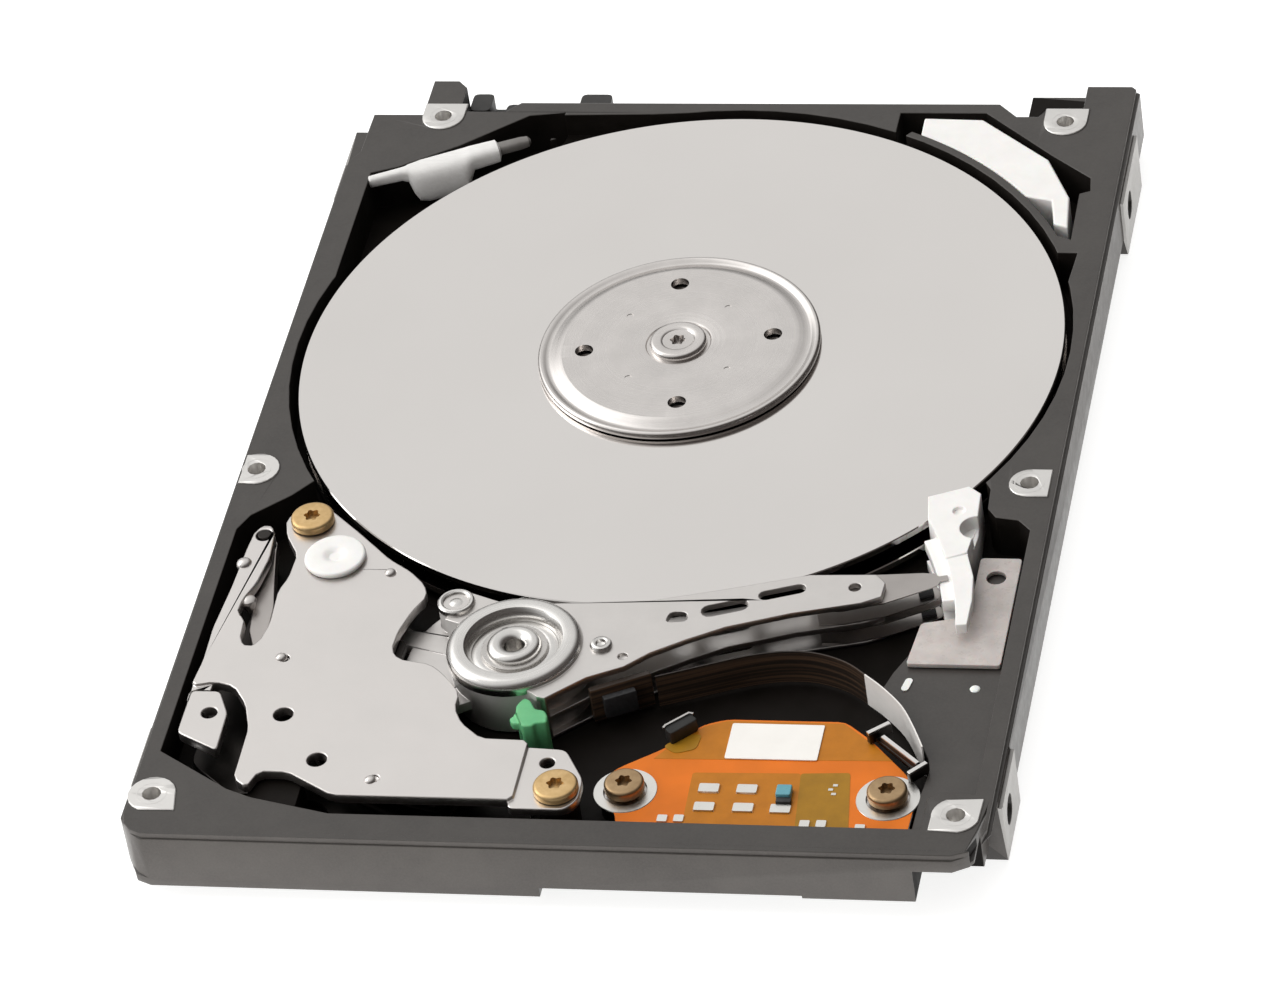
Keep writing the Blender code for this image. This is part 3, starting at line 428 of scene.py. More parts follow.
def board_material():
    """Green solder mask, lighter over the copper pours below it."""
    s = Surface("solder_mask", Metallic=0.0, IOR=1.5, Coat_Weight=0.3, Coat_Roughness=0.15)
    cells = s.node("ShaderNodeTexVoronoi", distance="CHEBYCHEV", feature="F1")
    cells.inputs["Scale"].default_value = 0.16
    s.link(s.mm, cells.inputs["Vector"])
    pour = s.span(cells.outputs["Distance"], 0.42, 0.47, 0.0, 1.0)
    s.colour(s.mix(pour, (0.012, 0.075, 0.030), (0.006, 0.042, 0.018)))
    s.rough(s.noise(2.0, 3.0), 0.28, 0.4)
    s.bump(pour, 0.3, 0.02)
    return s.material


def chip_material():
    """Black moulded chip body with a matt speckle."""
    s = Surface("chip_mould", Metallic=0.0)
    s.shades(s.noise(3.0, 4.0), (0.014, 0.014, 0.015), (0.03, 0.03, 0.032))
    s.rough(s.noise(4.0, 3.0), 0.5, 0.62)
    s.bump(s.noise(9.0, 3.0), 0.3, 0.01)
    return s.material


def coil_material():
    """Enamelled copper wire, wound in lines round the coil's height."""
    s = Surface("coil_wire", Metallic=0.9)
    lines = s.noise(3.0, 1.0, 0.4, stretch=(0.05, 0.05, 3.0))
    s.shades(lines, (0.62, 0.24, 0.09), (0.42, 0.14, 0.05), 0.4, 0.6)
    s.rough(lines, 0.28, 0.4)
    s.bump(lines, 0.5, 0.04)
    return s.material


def floor_material():
    """The pale studio floor, lit a little from within so that it stays even."""
    s = Surface("studio_floor", Metallic=0.0, Roughness=0.85)
    s.shades(s.noise(0.02, 2.0), (0.50, 0.50, 0.497), (0.48, 0.48, 0.477), 0.4, 0.6)
    s.shader.inputs["Emission Color"].default_value = (1.0, 1.0, 0.995, 1.0)
    s.shader.inputs["Emission Strength"].default_value = 0.85
    return s.material


ALUMINIUM = (0.70, 0.675, 0.655)
COAT = coat_material("casting_coat", 1.0)
# painted light: the coat made 1.9 times lighter for the steep outer sides of the casting
LIT_WALL = coat_material("casting_side_painted_light", 1.9)
# painted shade: a near-black copy of the coat for the well's floor and inner walls
WELL_SHADE = well_shade_material()
PAD = machined_material("machined_face", (0.78, 0.765, 0.745), 0.34)
LUG = machined_material("machined_lug", (0.50, 0.49, 0.475), 0.5)
DISK = disk_material()
CLAMP = turned_material("turned_clamp", SPINDLE, (0.72, 0.69, 0.67), 0.24)
HUB = turned_material("turned_hub", SPINDLE, ALUMINIUM, 0.25)
CAP = turned_material("turned_pivot", PIVOT, (0.76, 0.745, 0.725), 0.25)
ARM = machined_material("milled_arm", ALUMINIUM, 0.36, turn=0.3)
BARREL = plastic_material("arm_side", (0.52, 0.505, 0.49), (0.46, 0.445, 0.43), 0.4, grain=2.0)
NICKEL = plated_material("nickel_plate", (0.735, 0.705, 0.685), (0.70, 0.675, 0.655))
# painted shade: a near-black copy of the nickel plate for plated parts that sit in shade
SHADED = plated_material("nickel_painted_shade", (0.055, 0.050, 0.047), (0.035, 0.032, 0.030))
BEAM = plated_material("suspension_steel", (0.50, 0.47, 0.45), (0.40, 0.375, 0.36))
STEEL = machined_material("stainless_steel", (0.60, 0.58, 0.56), 0.28)
SCREW = screw_material("brown_passivation", (0.74, 0.52, 0.26), (0.60, 0.40, 0.18))
# painted shade: a darker copy of the screw brown for the low flex screws
FLEX_SCREW = screw_material("passivation_painted_shade", (0.46, 0.32, 0.18), (0.36, 0.24, 0.13))
WHITE = plastic_material("white_plastic", (0.93, 0.92, 0.90), (0.88, 0.87, 0.85), 0.4, soften=0.1)
CLEAR = plastic_material("translucent_plastic", (0.60, 0.55, 0.525), (0.46, 0.42, 0.40), 0.3, soften=0.2)
FILTER = filter_material()
GREEN = plastic_material("green_elastomer", (0.17, 0.55, 0.25), (0.12, 0.45, 0.20), 0.42, soften=0.1)
BLACK = plastic_material("black_plastic", (0.018, 0.017, 0.016), (0.03, 0.028, 0.027), 0.42)
FILM = film_material()
MUSTARD = copper_area_material("film_over_copper", (0.52, 0.185, 0.014), (0.45, 0.16, 0.012))
OLIVE = copper_area_material("film_over_fine_tracks", (0.38, 0.19, 0.015), (0.32, 0.16, 0.014))
# painted highlight: a pale diffuse white for a silver part of the loop, standing for its bright
# reflection
SILVER_HIGHLIGHT = plastic_material("flex_backing_painted_highlight", (0.90, 0.87, 0.84), (0.82, 0.80, 0.77), 0.35)
MATT = plastic_material("matt_black", (0.010, 0.010, 0.010), (0.016, 0.016, 0.015), 0.6)
NUB = plastic_material("clear_nub", (0.22, 0.21, 0.20), (0.17, 0.16, 0.15), 0.2)
LOOP = loop_material()
BOARD = board_material()
CHIP = chip_material()
COIL = coil_material()
PAPER = plastic_material("label_paper", (0.93, 0.91, 0.87), (0.89, 0.87, 0.83), 0.6, grain=3.0)
SOLDER = machined_material("tinned_pad", (0.80, 0.79, 0.76), 0.32)
GOLD = machined_material("gold_contact", (0.85, 0.60, 0.25), 0.25)
CERAMIC = plastic_material("blue_ceramic", (0.13, 0.38, 0.45), (0.10, 0.30, 0.37), 0.3)
TAN = plastic_material("tan_ceramic", (0.36, 0.25, 0.14), (0.30, 0.20, 0.11), 0.4)


# ---------------------------------------------------------------- building pieces


def finish_mesh(mesh, angle=SHARP):
    """Smooth shading up to the angle, with the large level faces kept flat."""
    mesh.shade_smooth()
    mesh.set_sharp_from_angle(angle=math.radians(angle))
    least_area = 0.5 * MM * MM
    for face in mesh.polygons:
        if abs(face.normal.z) > 0.9999 and face.area > least_area:
            face.use_smooth = False


def soften_edges(work, width, segments, angle=SHARP):
    """Rounds every edge sharper than the angle."""
    edges = [
        edge
        for edge in work.edges
        if len(edge.link_faces) == 2 and edge.calc_face_angle(0) > math.radians(angle)
    ]
    bmesh.ops.bevel(
        work,
        geom=edges,
        offset=width * MM,
        offset_type="OFFSET",
        segments=segments,
        profile=0.5,
        affect="EDGES",
        clamp_overlap=False,
    )


def mesh_from(name, solid, bevel=0.0, segments=2):
    """A mesh made from a solid in millimetres, with rounded edges where a bevel is given."""
    points, faces = solid
    work = bmesh.new()
    corners = [work.verts.new((x * MM, y * MM, z * MM)) for x, y, z in points]
    for face in faces:
        work.faces.new([corners[i] for i in face])
    bmesh.ops.recalc_face_normals(work, faces=work.faces)
    if bevel:
        bmesh.ops.dissolve_limit(work, angle_limit=OWN_FLAT, verts=work.verts, edges=work.edges)
        soften_edges(work, bevel, segments)
    mesh = bpy.data.meshes.new(name)
    work.to_mesh(mesh)
    work.free()
    return mesh


def placed(name, mesh, material, angle):
    """An object in the scene with this mesh, its material and its shading."""
    mesh.materials.clear()
    mesh.materials.append(material)
    finish_mesh(mesh, angle)
    obj = bpy.data.objects.new(name, mesh)
    bpy.context.scene.collection.objects.link(obj)
    return obj


def piece(name, body, solid, material, node=None, bevel=0.0, segments=2, angle=SHARP):
    """A new piece from a solid, riding on a body, that may stand for a CAD node."""
    obj = placed(name, mesh_from(name, solid, bevel, segments), material, angle)
    if body:
        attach(obj, body)
    if node:
        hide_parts(node)
    return obj


def body_of(node):
    for body, members in frame["record"]["behaviour"]["bodies"].items():
        if node in members:
            return body
    return None


def carved(mesh, solid):
    """A new mesh: this one with a solid in millimetres taken out of it."""
    tool = bpy.data.objects.new("carving_tool", mesh_from("carving_tool", solid))
    blank = bpy.data.objects.new("carving_blank", mesh.copy())
    bpy.context.scene.collection.objects.link(tool)
    bpy.context.scene.collection.objects.link(blank)
    cut = blank.modifiers.new("cut", "BOOLEAN")
    cut.operation = "DIFFERENCE"
    cut.solver = "EXACT"
    cut.object = tool
    bpy.context.view_layer.update()
    graph = bpy.context.evaluated_depsgraph_get()
    result = bpy.data.meshes.new_from_object(blank.evaluated_get(graph))
    bpy.data.objects.remove(tool)
    bpy.data.objects.remove(blank)
    return result


def drill(obj, centre, radius, bottom, top, count=32):
    """Cuts a round hole into a piece."""
    hole = turned([(radius, bottom), (radius, top)], centre, count, capped=True)
    obj.data = carved(obj.data, hole)
    finish_mesh(obj.data)


def finished(node, material, bevel=0.05, segments=2, whole=True, cut=None):
    """A copy of a CAD node with its edges rounded.

    Flat faces are joined whole, or from pairs of triangles where a face has many holes.
    """
    source = nodes[node].data
    if cut:
        source = carved(source, cut)
    work = bmesh.new()
    work.from_mesh(source)
    bmesh.ops.remove_doubles(work, verts=work.verts, dist=0.002 * MM)
    if whole:
        bmesh.ops.dissolve_degenerate(work, dist=0.005 * MM, edges=work.edges)
        bmesh.ops.dissolve_limit(work, angle_limit=CAD_FLAT, verts=work.verts, edges=work.edges)
    else:
        bmesh.ops.join_triangles(
            work,
            faces=work.faces,
            angle_face_threshold=CAD_FLAT,
            angle_shape_threshold=math.pi,
        )
    bmesh.ops.recalc_face_normals(work, faces=work.faces)
    if bevel:
        soften_edges(work, bevel, segments)
    mesh = bpy.data.meshes.new(f"{node}_finished")
    work.to_mesh(mesh)
    work.free()
    obj = placed(f"{node}_finished", mesh, material, SHARP)
    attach(obj, body_of(node))
    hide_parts(node)
    return obj


def finish_each(*rows):
    """Finished copies for rows of node, material, bevel and perhaps the bevel's segments."""
    for row in rows:
        finished(*row)


# ---------------------------------------------------------------- chassis


def casting():
    """The base casting: coated, with painted shade making it black down in its well, painted light on
    its outer sides, and bright machined faces.
    """
    outline = ((-8.0, 40.5), (-2.0, 43.5), (-2.0, 44.5), (-8.0, 44.1), (-17.5, 43.9), (-17.5, 40.5))
    pocket = plate(outline, 4.2, 7.0)
    obj = finished("base_casting", COAT, bevel=0.06, whole=False, cut=pocket)
    for material in (PAD, WELL_SHADE, LIT_WALL, LUG):
        obj.data.materials.append(material)
    for face in obj.data.polygons:
        face.material_index = casting_face(face)
    cover_boss_countersinks()
    ledge_marks()


def casting_face(face):
    """The place in the casting's materials for a face: 0 coat, 1 pad, 2 painted-shade well, 3
    painted-light wall, 4 lug.
    """
    tap_radius = 0.8
    tap_bottom = 3.3
    pad_low = 6.56
    lug_face = 34.72
    lug_top = 5.9
    floor_low = 1.95
    ledge_level = 4.4
    rim_low = 6.3
    x, y, z = face.center / MM
    steepness = 1 - abs(face.normal.z)
    inside = abs(x) < 33.4 and -48.6 < y < 47.5
    ledge = x > 22.0 and y < -13.0
    tapped = z > tap_bottom and any(math.hypot(x - a, y - b) < tap_radius for a, b in COVER_BOSSES)
    if z > pad_low or tapped:
        return 1
    if abs(x) > lug_face and z < lug_top:
        return 4
    low = z < ledge_level or (z < rim_low and not ledge)
    # painted shade: the well's floor and inner walls take the near-black coat
    if inside and z > floor_low and (low or steepness > 0.7):
        return 2
    # painted light: steep outer faces take the lighter copy of the coat
    if steepness > 0.5 and not inside:
        return 3
    return 0


def cover_boss_countersinks():
    lip = PAD_TOP + 0.008
    profile = [(0.74, 6.0), (1.16, lip), (1.26, lip), (1.26, 6.0)]
    sinks = together(*[turned(profile, place, 32) for place in COVER_BOSSES])
    piece("cover_boss_countersinks", "chassis", sinks, PAD, angle=20)


def ledge_marks():
    """Two small white dabs on the shelf beside the flex: a round one and a long one."""
    low = 4.49
    long_mark = rounded(slot_outline((25.05, -28.65), (25.25, -27.75), 0.3), 0.05, 1)
    marks = together(dome((30.63, -28.46), 0.42, low, 4.62), plate(long_mark, low, 4.6))
    piece("ledge_marks", "chassis", marks, WHITE)


def slot_outline(start, end, radius, steps=8):
    """A round-ended slot between two points."""
    heading = math.degrees(math.atan2(end[1] - start[1], end[0] - start[0]))
    far_end = arc(end, radius, heading - 90, heading + 90, steps)
    return far_end + arc(start, radius, heading + 90, heading + 270, steps)


def dome(centre, radius, low, high, count=32):
    """A low round button with a curved top."""
    rise = high - low
    profile = [(radius, low)]
    for i in range(1, 6):
        angle = math.radians(90 * i / 6)
        profile.append((radius * math.cos(angle), low + rise * math.sin(angle)))
    return turned(profile, centre, count, capped=True)


def disks():
    """Two polished disks with a small chamfer at both edges."""
    cut = 0.08
    for node, low in (("lower_platter", 3.35), ("upper_platter", 5.45)):
        high = low + DISK_THICK
        profile = [
            (DISK_BORE_R, low + cut),
            (DISK_BORE_R + cut, low),
            (DISK_R - cut, low),
            (DISK_R, low + cut),
            (DISK_R, high - cut),
            (DISK_R - cut, high),
            (DISK_BORE_R + cut, high),
            (DISK_BORE_R, high - cut),
        ]
        piece(f"{node}_disk", "spindle", turned(profile, SPINDLE, 256), DISK, node)


def clamp():
    """The pressed disk clamp: a raised flat, a groove, a rounded rim, four holes and four dimples."""
    top = 7.02
    profile = [(1.5, 6.4), (9.6, 6.4), (10.4, 6.24), (11.85, 6.24), (11.97, 6.34)]
    profile += [(12.0, 6.5), (11.98, 6.66), (11.92, 6.78), (11.81, 6.86), (11.68, 6.88), (11.52, 6.83)]
    profile += [(11.34, 6.74), (11.2, 6.67), (11.08, 6.65), (10.92, 6.69), (10.6, 6.81), (10.3, 6.92)]
    profile += [(10.08, 6.99), (9.9, top), (6.0, top), (2.95, top), (2.8, top - 0.03)]
    profile += [(2.7, top - 0.14), (1.5, top - 0.14)]
    obj = piece("disk_clamp_pressed", "spindle", turned(profile, SPINDLE, 192), CLAMP, "disk_clamp")
    for i in range(4):
        drill(obj, polar(SPINDLE, 8.0, 9 + 90 * i), 0.78, 5.9, 9.0)
        drill(obj, polar(SPINDLE, 5.9, 54 + 90 * i), 0.3, top - 0.04, 9.0)
    clamp_screw()


def clamp_screw():
    """The low rounded screw that holds the clamp, with a ring round its socket."""
    seat = 6.85
    outer = [(1.0, 6.2), (1.0, seat), (2.45, seat), (2.45, 7.1)]
    outer += arc((2.1, 7.1), 0.34, 0, 90, 6)[1:]
    outer += [(1.55, 7.45), (1.42, 7.40), (1.32, 7.32), (1.0, 7.30)]
    piece("clamp_screw_turned", "spindle", lobed(outer, SPINDLE, 0.62, 0.5), CLAMP, "clamp_screw")


def lobed(outer, centre, socket, depth):
    """A turned head whose top opens into a six-lobed socket of this radius and depth."""
    count = 48
    step = 360 / count
    lobes = []
    for i in range(count):
        swell = 1 + 0.14 * math.cos(math.radians(6 * step * i))
        lobes.append(polar(centre, socket * swell, step * i))
    points, faces = turned(outer, centre, count, capped=True)
    faces = faces[:-1]
    edge = len(points) - count
    inner = len(points)
    top = outer[-1][1]
    points += [(x, y, top) for x, y in lobes]
    points += [(x, y, top - depth) for x, y in lobes]
    for i in range(count):
        j = (i + 1) % count
        faces.append((edge + i, edge + j, inner + j, inner + i))
        faces.append((inner + i, inner + j, inner + count + j, inner + count + i))
    faces.append(tuple(range(inner + count, inner + 2 * count)))
    return points, faces


def screw_head(node, centre, levels, radius, material, socket):
    """A screw with a rounded rim, a flat top and a six-lobed socket."""
    low, seat, top = levels
    rim = 0.3
    shank = radius * 0.45
    outer = [(shank, low), (shank, seat), (radius, seat)]
    outer += arc((radius - rim, top - rim), rim, 0, 90, 6)
    depth = 0.6 * (top - seat) + 0.1
    piece(f"{node}_head", "chassis", lobed(outer, centre, socket, depth), material, node)


def screws():
    for i, (x, y, seat) in enumerate(YOKE_SCREWS):
        levels = (3.2, seat + 0.03, seat + 0.7)
        screw_head(f"yoke_screw_{i + 1}", (x, y), levels, 1.8, SCREW, 0.62)
    for i, place in enumerate(FLEX_SCREWS):
        # painted shade: the flex screws take the darker copy of the screw brown
        screw_head(f"flex_screw_{i + 1}", place, (3.1, 4.7, 5.5), 1.6, FLEX_SCREW, 0.6)


def outer_stop():
    """The white crash stop: a flat cap with a rounded edge and a small dished centre."""
    profile = [(0.85, 2.8), (0.85, 7.16), (2.45, 7.16)]
    profile += arc((2.3, 7.4), 0.25, -60, 90, 8)
    profile += [(1.2, 7.66), (0.85, 7.62), (0.62, 7.45), (0.5, 7.4)]
    cap = turned(profile, OUTER_STOP, 64, capped=True)
    piece("outer_crash_stop_cap", "chassis", cap, WHITE, "outer_crash_stop")


# ---------------------------------------------------------------- actuator


def pivot():
    """The pivot seen from above: its sloping sleeve, and its fixed hub with a hole down it."""
    hub = [(1.5, 2.1), (1.5, 6.6), (2.25, 6.6), (2.25, 7.1)]
    hub += arc((1.65, 7.1), 0.6, 0, 90, 6)[1:]
    hub += [(1.45, 7.70), (1.2, 7.62), (0.95, 7.48), (0.82, 7.30), (0.80, 5.2)]
    piece("pivot_shaft_turned", "chassis", turned(hub, PIVOT, 64, capped=True), CAP, "pivot_shaft")
    sleeve = [(2.45, 2.95), (3.5, 2.95), (3.5, 6.8), (3.3, 6.86)]
    sleeve += [(2.95, 6.88), (2.65, 6.84), (2.45, 6.7)]
    piece("pivot_sleeve_turned", "actuator", turned(sleeve, PIVOT, 64), CAP, "pivot_sleeve")


def arm_rear_lobe():
    """The arm's rear lobe, seen between the column and the yoke."""
    lobe = arc(PIVOT, 4.6, 205, 222, 8) + arc(PIVOT, 8.6, 220, 205, 8)
    solid = plate(lobe, 4.3, 5.05)
    piece("arm_rear_lobe", "actuator", solid, ARM, bevel=0.08)


def arm_top():
    """The arm's rounded cap, the capped column beside it and a small pin."""
    top = 7.9
    cap = [(3.52, 6.7), (5.52, 6.7), (5.52, 7.1)]
    cap += arc((4.72, 7.1), 0.8, 0, 90, 8)[1:]
    cap += [(4.15, top), (4.02, top - 0.03), (3.9, top - 0.15), (3.62, 7.2), (3.52, 6.95)]
    piece("arm_cap_turned", "actuator", turned(cap, PIVOT, 96), CAP)
    column = [(1.55, 7.0), (1.55, 7.2), (1.5, 7.38), (1.38, 7.48), (1.22, 7.5), (1.08, 7.42)]
    column += [(1.0, 7.2), (0.85, 7.16), (0.6, 7.22), (0.4, 7.34), (0.15, 7.38)]
    pin = [(0.92, 7.05), (0.9, 7.3), (0.78, 7.46), (0.58, 7.52), (0.42, 7.46), (0.34, 7.25), (0.1, 7.2)]
    pair = together(
        turned(column, (-12.3, -22.5), 48, capped=True),
        turned(pin, (0.54, -27.22), 32, capped=True),
    )
    piece("arm_column_and_pin", "actuator", pair, CAP)


def actuator():
    arm_stack()
    for i in range(4):
        finished(f"load_beam_{i + 1}", BEAM, bevel=0.0)
        finished(f"head_slider_{i + 1}", CHIP, bevel=0.02)
    finish_each(
        ("voice_coil", COIL, 0.12, 3),
        ("coil_bobbin", BLACK, 0.05),
        ("arm_flex_stiffener", LOOP, 0.04),
        ("preamp_chip", CHIP, 0.06),
    )
    arm_top()
    arm_rear_lobe()
    pivot()


def arm_stack():
    """The three arms and their barrel, lowered where the turned cap covers them."""
    cap_r = 5.7
    barrel_top = 7.15
    under_cap = 7.11
    arm = finished("actuator_arm", ARM, bevel=0.07)
    arm.data.materials.append(BARREL)
    for vertex in arm.data.vertices:
        x = vertex.co.x / MM - PIVOT[0]
        y = vertex.co.y / MM - PIVOT[1]
        if vertex.co.z > barrel_top * MM and math.hypot(x, y) < cap_r:
            vertex.co.z = under_cap * MM
    for face in arm.data.polygons:
        x = face.center.x / MM - PIVOT[0]
        y = face.center.y / MM - PIVOT[1]
        if abs(face.normal.z) < 0.5 and x < 3.0 and math.hypot(x, y) > 4.0:
            face.material_index = 1


# ---------------------------------------------------------------- flex circuit


def flex_circuit():
    """The board in its pocket: film, copper areas, pads, a blank label, parts and the moving loop."""
    finished("flex_bracket", NICKEL, bevel=0.05)
    finished("flex_board", FILM, bevel=0.03)
    copper_areas()
    solder_pads()
    flex_parts()
    flex_keeper()
    # painted shade: the clip takes the near-black nickel
    finished("flex_clip", SHADED, bevel=0.05)
    # painted highlights along the clip's edges
    clip_edge_highlights()
    flex_loop()


def copper_areas():
    """The toned areas of the film: one below the label, one round the pads and one of fine tracks."""
    low = FILM_TOP - 0.01
    upper = [(9.75, -33.5), (11.45, -32.8), (20.8, -32.8), (23.05, -34.75)]
    upper += [(25.3, -37.0), (15.0, -37.25), (6.3, -37.4), (7.1, -36.25)]
    pad_zone = rounded([(9.7, -38.9), (18.3, -38.7), (18.9, -46.3), (9.9, -46.3)], 0.3)
    areas = together(plate(upper, low, FILM_TOP + 0.02), plate(pad_zone, low, FILM_TOP + 0.02))
    piece("flex_copper_areas", "chassis", areas, MUSTARD)
    fine = rounded([(18.3, -38.7), (22.2, -38.5), (23.2, -46.3), (18.9, -46.3)], 0.3)
    fine_area = plate(fine, low, FILM_TOP + 0.022)
    piece("flex_fine_track_area", "chassis", fine_area, OLIVE)


def solder_pads():
    """Large, small and tiny tinned pads, and a ring under each flex screw."""
    large = ((11.32, -40.73), (14.35, -40.73), (11.29, -42.87), (14.39, -42.87), (17.35, -42.9))
    small = ((8.2, -44.3), (9.5, -44.25), (19.5, -44.5), (20.8, -44.45), (23.9, -44.8))
    tiny = ((21.25, -40.0), (20.95, -40.5), (21.25, -41.0))
    pads = [solder_pad(x, y, 0.86, 0.52, 0.17) for x, y in large]
    pads += [solder_pad(x, y, 0.42, 0.42, 0.12) for x, y in small]
    pads += [solder_pad(x, y, 0.2, 0.14, 0.06) for x, y in tiny]
    low = FILM_TOP - 0.01
    high = FILM_TOP + 0.05
    ring = [(1.7, low), (2.55, low), (2.5, high), (1.75, high)]
    pads += [turned(ring, place, 64) for place in FLEX_SCREWS]
    piece("flex_solder_pads", "chassis", together(*pads), SOLDER)


def flex_parts():
    """The blue capacitor, its dark end and the blank label."""
    low = FILM_TOP + 0.02
    body = plate(rounded(rectangle(16.8, -41.8, 18.0, -40.6), 0.15, 3), low, FILM_TOP + 0.62)
    piece("flex_capacitor", "chassis", body, CERAMIC, bevel=0.08)
    end = plate(rectangle(16.9, -42.4, 18.1, -41.85), low, FILM_TOP + 0.4)
    piece("flex_capacitor_end", "chassis", end, CHIP, bevel=0.05)
    outline = rounded(rectangle(11.95, -37.25, 19.35, -33.15), 0.15, 3)
    label = plate(outline, FILM_TOP + 0.04, FILM_TOP + 0.13)
    piece("blank_label", "chassis", label, PAPER, "board_label", bevel=0.02)


def flex_keeper():
    """The black keeper, a painted highlight along its top edge, and painted shade and reflection of the
    keeper on the film below it.
    """
    outline = rounded([(6.8, -35.1), (8.65, -33.3), (9.4, -34.0), (7.55, -35.85)], 0.25, 3)
    piece("flex_keeper_block", "chassis", plate(outline, 4.45, 5.65), MATT, "flex_keeper", bevel=0.1)
    # painted highlight: a bright steel strip along the keeper's top-left edge
    wire = ribbon([(6.85, -35.25), (6.95, -34.95), (8.6, -33.4), (8.95, -33.5)], 0.09)
    piece("flex_keeper_edge_highlight", "chassis", plate(wire, 5.62, 5.78), STEEL)
    # painted shade and reflection of the keeper: a darker patch of film just below it
    keeper_shade = rounded([(6.8, -36.0), (7.9, -36.8), (9.5, -36.2), (9.7, -34.5), (8.3, -34.6)], 0.4, 3)
    solid = plate(keeper_shade, FILM_TOP + 0.01, FILM_TOP + 0.07)
    piece("flex_keeper_painted_shade", "chassis", solid, OLIVE)


def solder_pad(x, y, half_x, half_y, height):
    """One tinned pad with a rounded outline and a sloping edge."""
    low = FILM_TOP + 0.005
    high = FILM_TOP + 0.01 + height
    outline = rounded(rectangle(x - half_x, y - half_y, x + half_x, y + half_y), 0.3 * half_y, 3)
    points = [(a, b, low) for a, b in outline]
    points += [(x + (a - x) * 0.93, y + (b - y) * 0.9, high) for a, b in outline]
    count = len(outline)
    faces = [tuple(range(count)), tuple(range(count, 2 * count))]
    for i in range(count):
        j = (i + 1) % count
        faces.append((i, j, count + j, count + i))
    return points, faces


def ribbon(route, half_width):
    """The outline of a thin strip that follows a route."""
    left = []
    right = []
    for i, point in enumerate(route):
        before = route[max(i - 1, 0)]
        after = route[min(i + 1, len(route) - 1)]
        dx = after[0] - before[0]
        dy = after[1] - before[1]
        size = math.hypot(dx, dy) / half_width
        left.append((point[0] - dy / size, point[1] + dx / size))
        right.append((point[0] + dy / size, point[1] - dx / size))
    return left + right[::-1]


def clip_edge_highlights():
    """Painted highlights on the folded edges of the clip: one along its rail and one at each hook."""
    edges = [plate(ribbon([(24.35, -35.2), (27.55, -38.2)], 0.17), 5.2, 5.42)]
    edges.append(plate(ribbon([(23.15, -35.1), (24.7, -33.8)], 0.17), 5.4, 5.62))
    edges.append(plate(ribbon([(27.05, -39.45), (28.25, -38.2)], 0.17), 5.3, 5.52))
    # painted highlight: bright machined strips on the dark clip
    piece("flex_clip_edge_highlights", "chassis", together(*edges), PAD)


LOOP_ROUTE = (
    (5.2, -29.5), (7.5, -28.6), (10.0, -27.6), (12.5, -26.7), (15.0, -26.2), (17.6, -26.3),
    (20.2, -27.3), (22.3, -29.0), (23.9, -30.5), (25.5, -32.4), (26.7, -34.6), (27.8, -37.0),
)


def smooth_route(points, steps):
    """Points along a Catmull-Rom curve through the given points."""
    result = []
    for i in range(len(points) - 1):
        p0 = Vector(points[max(i - 1, 0)])
        p1 = Vector(points[i])
        p2 = Vector(points[i + 1])
        p3 = Vector(points[min(i + 2, len(points) - 1)])
        for k in range(steps):
            t = k / steps
            part = (p2 - p0) * t + (p0 * 2 - p1 * 5 + p2 * 4 - p3) * t**2
            part += (p1 * 3 - p0 - p2 * 3 + p3) * t**3
            result.append(tuple(p1 + part * 0.5))
    result.append(points[-1])
    return result


def flex_loop():
    """The moving flex: a thin band on edge that bends between the arm and its clip; its end by the clip
    is a silver part shown pale, a painted highlight.
    """
    low = 2.85
    high = 6.02
    half_thick = 0.06
    highlight_from = 22.0
    route = smooth_route(LOOP_ROUTE, 6)
    count = len(route)
    strip = ribbon(route, half_thick)
    left = strip[:count]
    right = strip[: count - 1 : -1]
    points = []
    for (x0, y0), (x1, y1) in zip(left, right):
        points += [(x0, y0, low), (x0, y0, high), (x1, y1, high), (x1, y1, low)]
    faces = []
    for i in range(count - 1):
        a = 4 * i
        for k in range(4):
            j = (k + 1) % 4
            faces.append((a + k, a + j, a + 4 + j, a + 4 + k))
    end = 4 * (count - 1)
    faces += [(0, 1, 2, 3), (end, end + 1, end + 2, end + 3)]
    obj = piece("flex_loop_band", None, (points, faces), LOOP, "flex_loop")
    # painted highlight: the band past x 22 mm takes the pale white
    obj.data.materials.append(SILVER_HIGHLIGHT)
    for face in obj.data.polygons:
        if face.center.x > highlight_from * MM:
            face.material_index = 1
    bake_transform(obj)


# ---------------------------------------------------------------- the rest of the carried nodes


def motor_and_latch():
    """The yokes and magnets with the latch beside them, and the fixed plastic parts."""
    finish_each(
        ("top_yoke", NICKEL, 0.1, 3),
        # painted shade: the bottom yoke and the magnets take the near-black nickel
        ("bottom_yoke", SHADED, 0.08),
        ("top_magnet", SHADED, 0.08),
        ("bottom_magnet", SHADED, 0.08),
    )
    dots = together(*[dome(place, 0.5, 7.0, 7.36) for place in YOKE_DOTS])
    piece("yoke_dots", "chassis", dots, NICKEL)
    latch_studs()
    finish_each(
        ("inner_crash_stop", GREEN, 0.15, 3),
        ("latch_lever", BEAM, 0.08),
        # painted shade: the latch pin takes the near-black nickel
        ("latch_pin", SHADED, 0.08),
        ("parking_ramp", WHITE, 0.08),
        ("ramp_bracket", CLEAR, 0.06),
    )


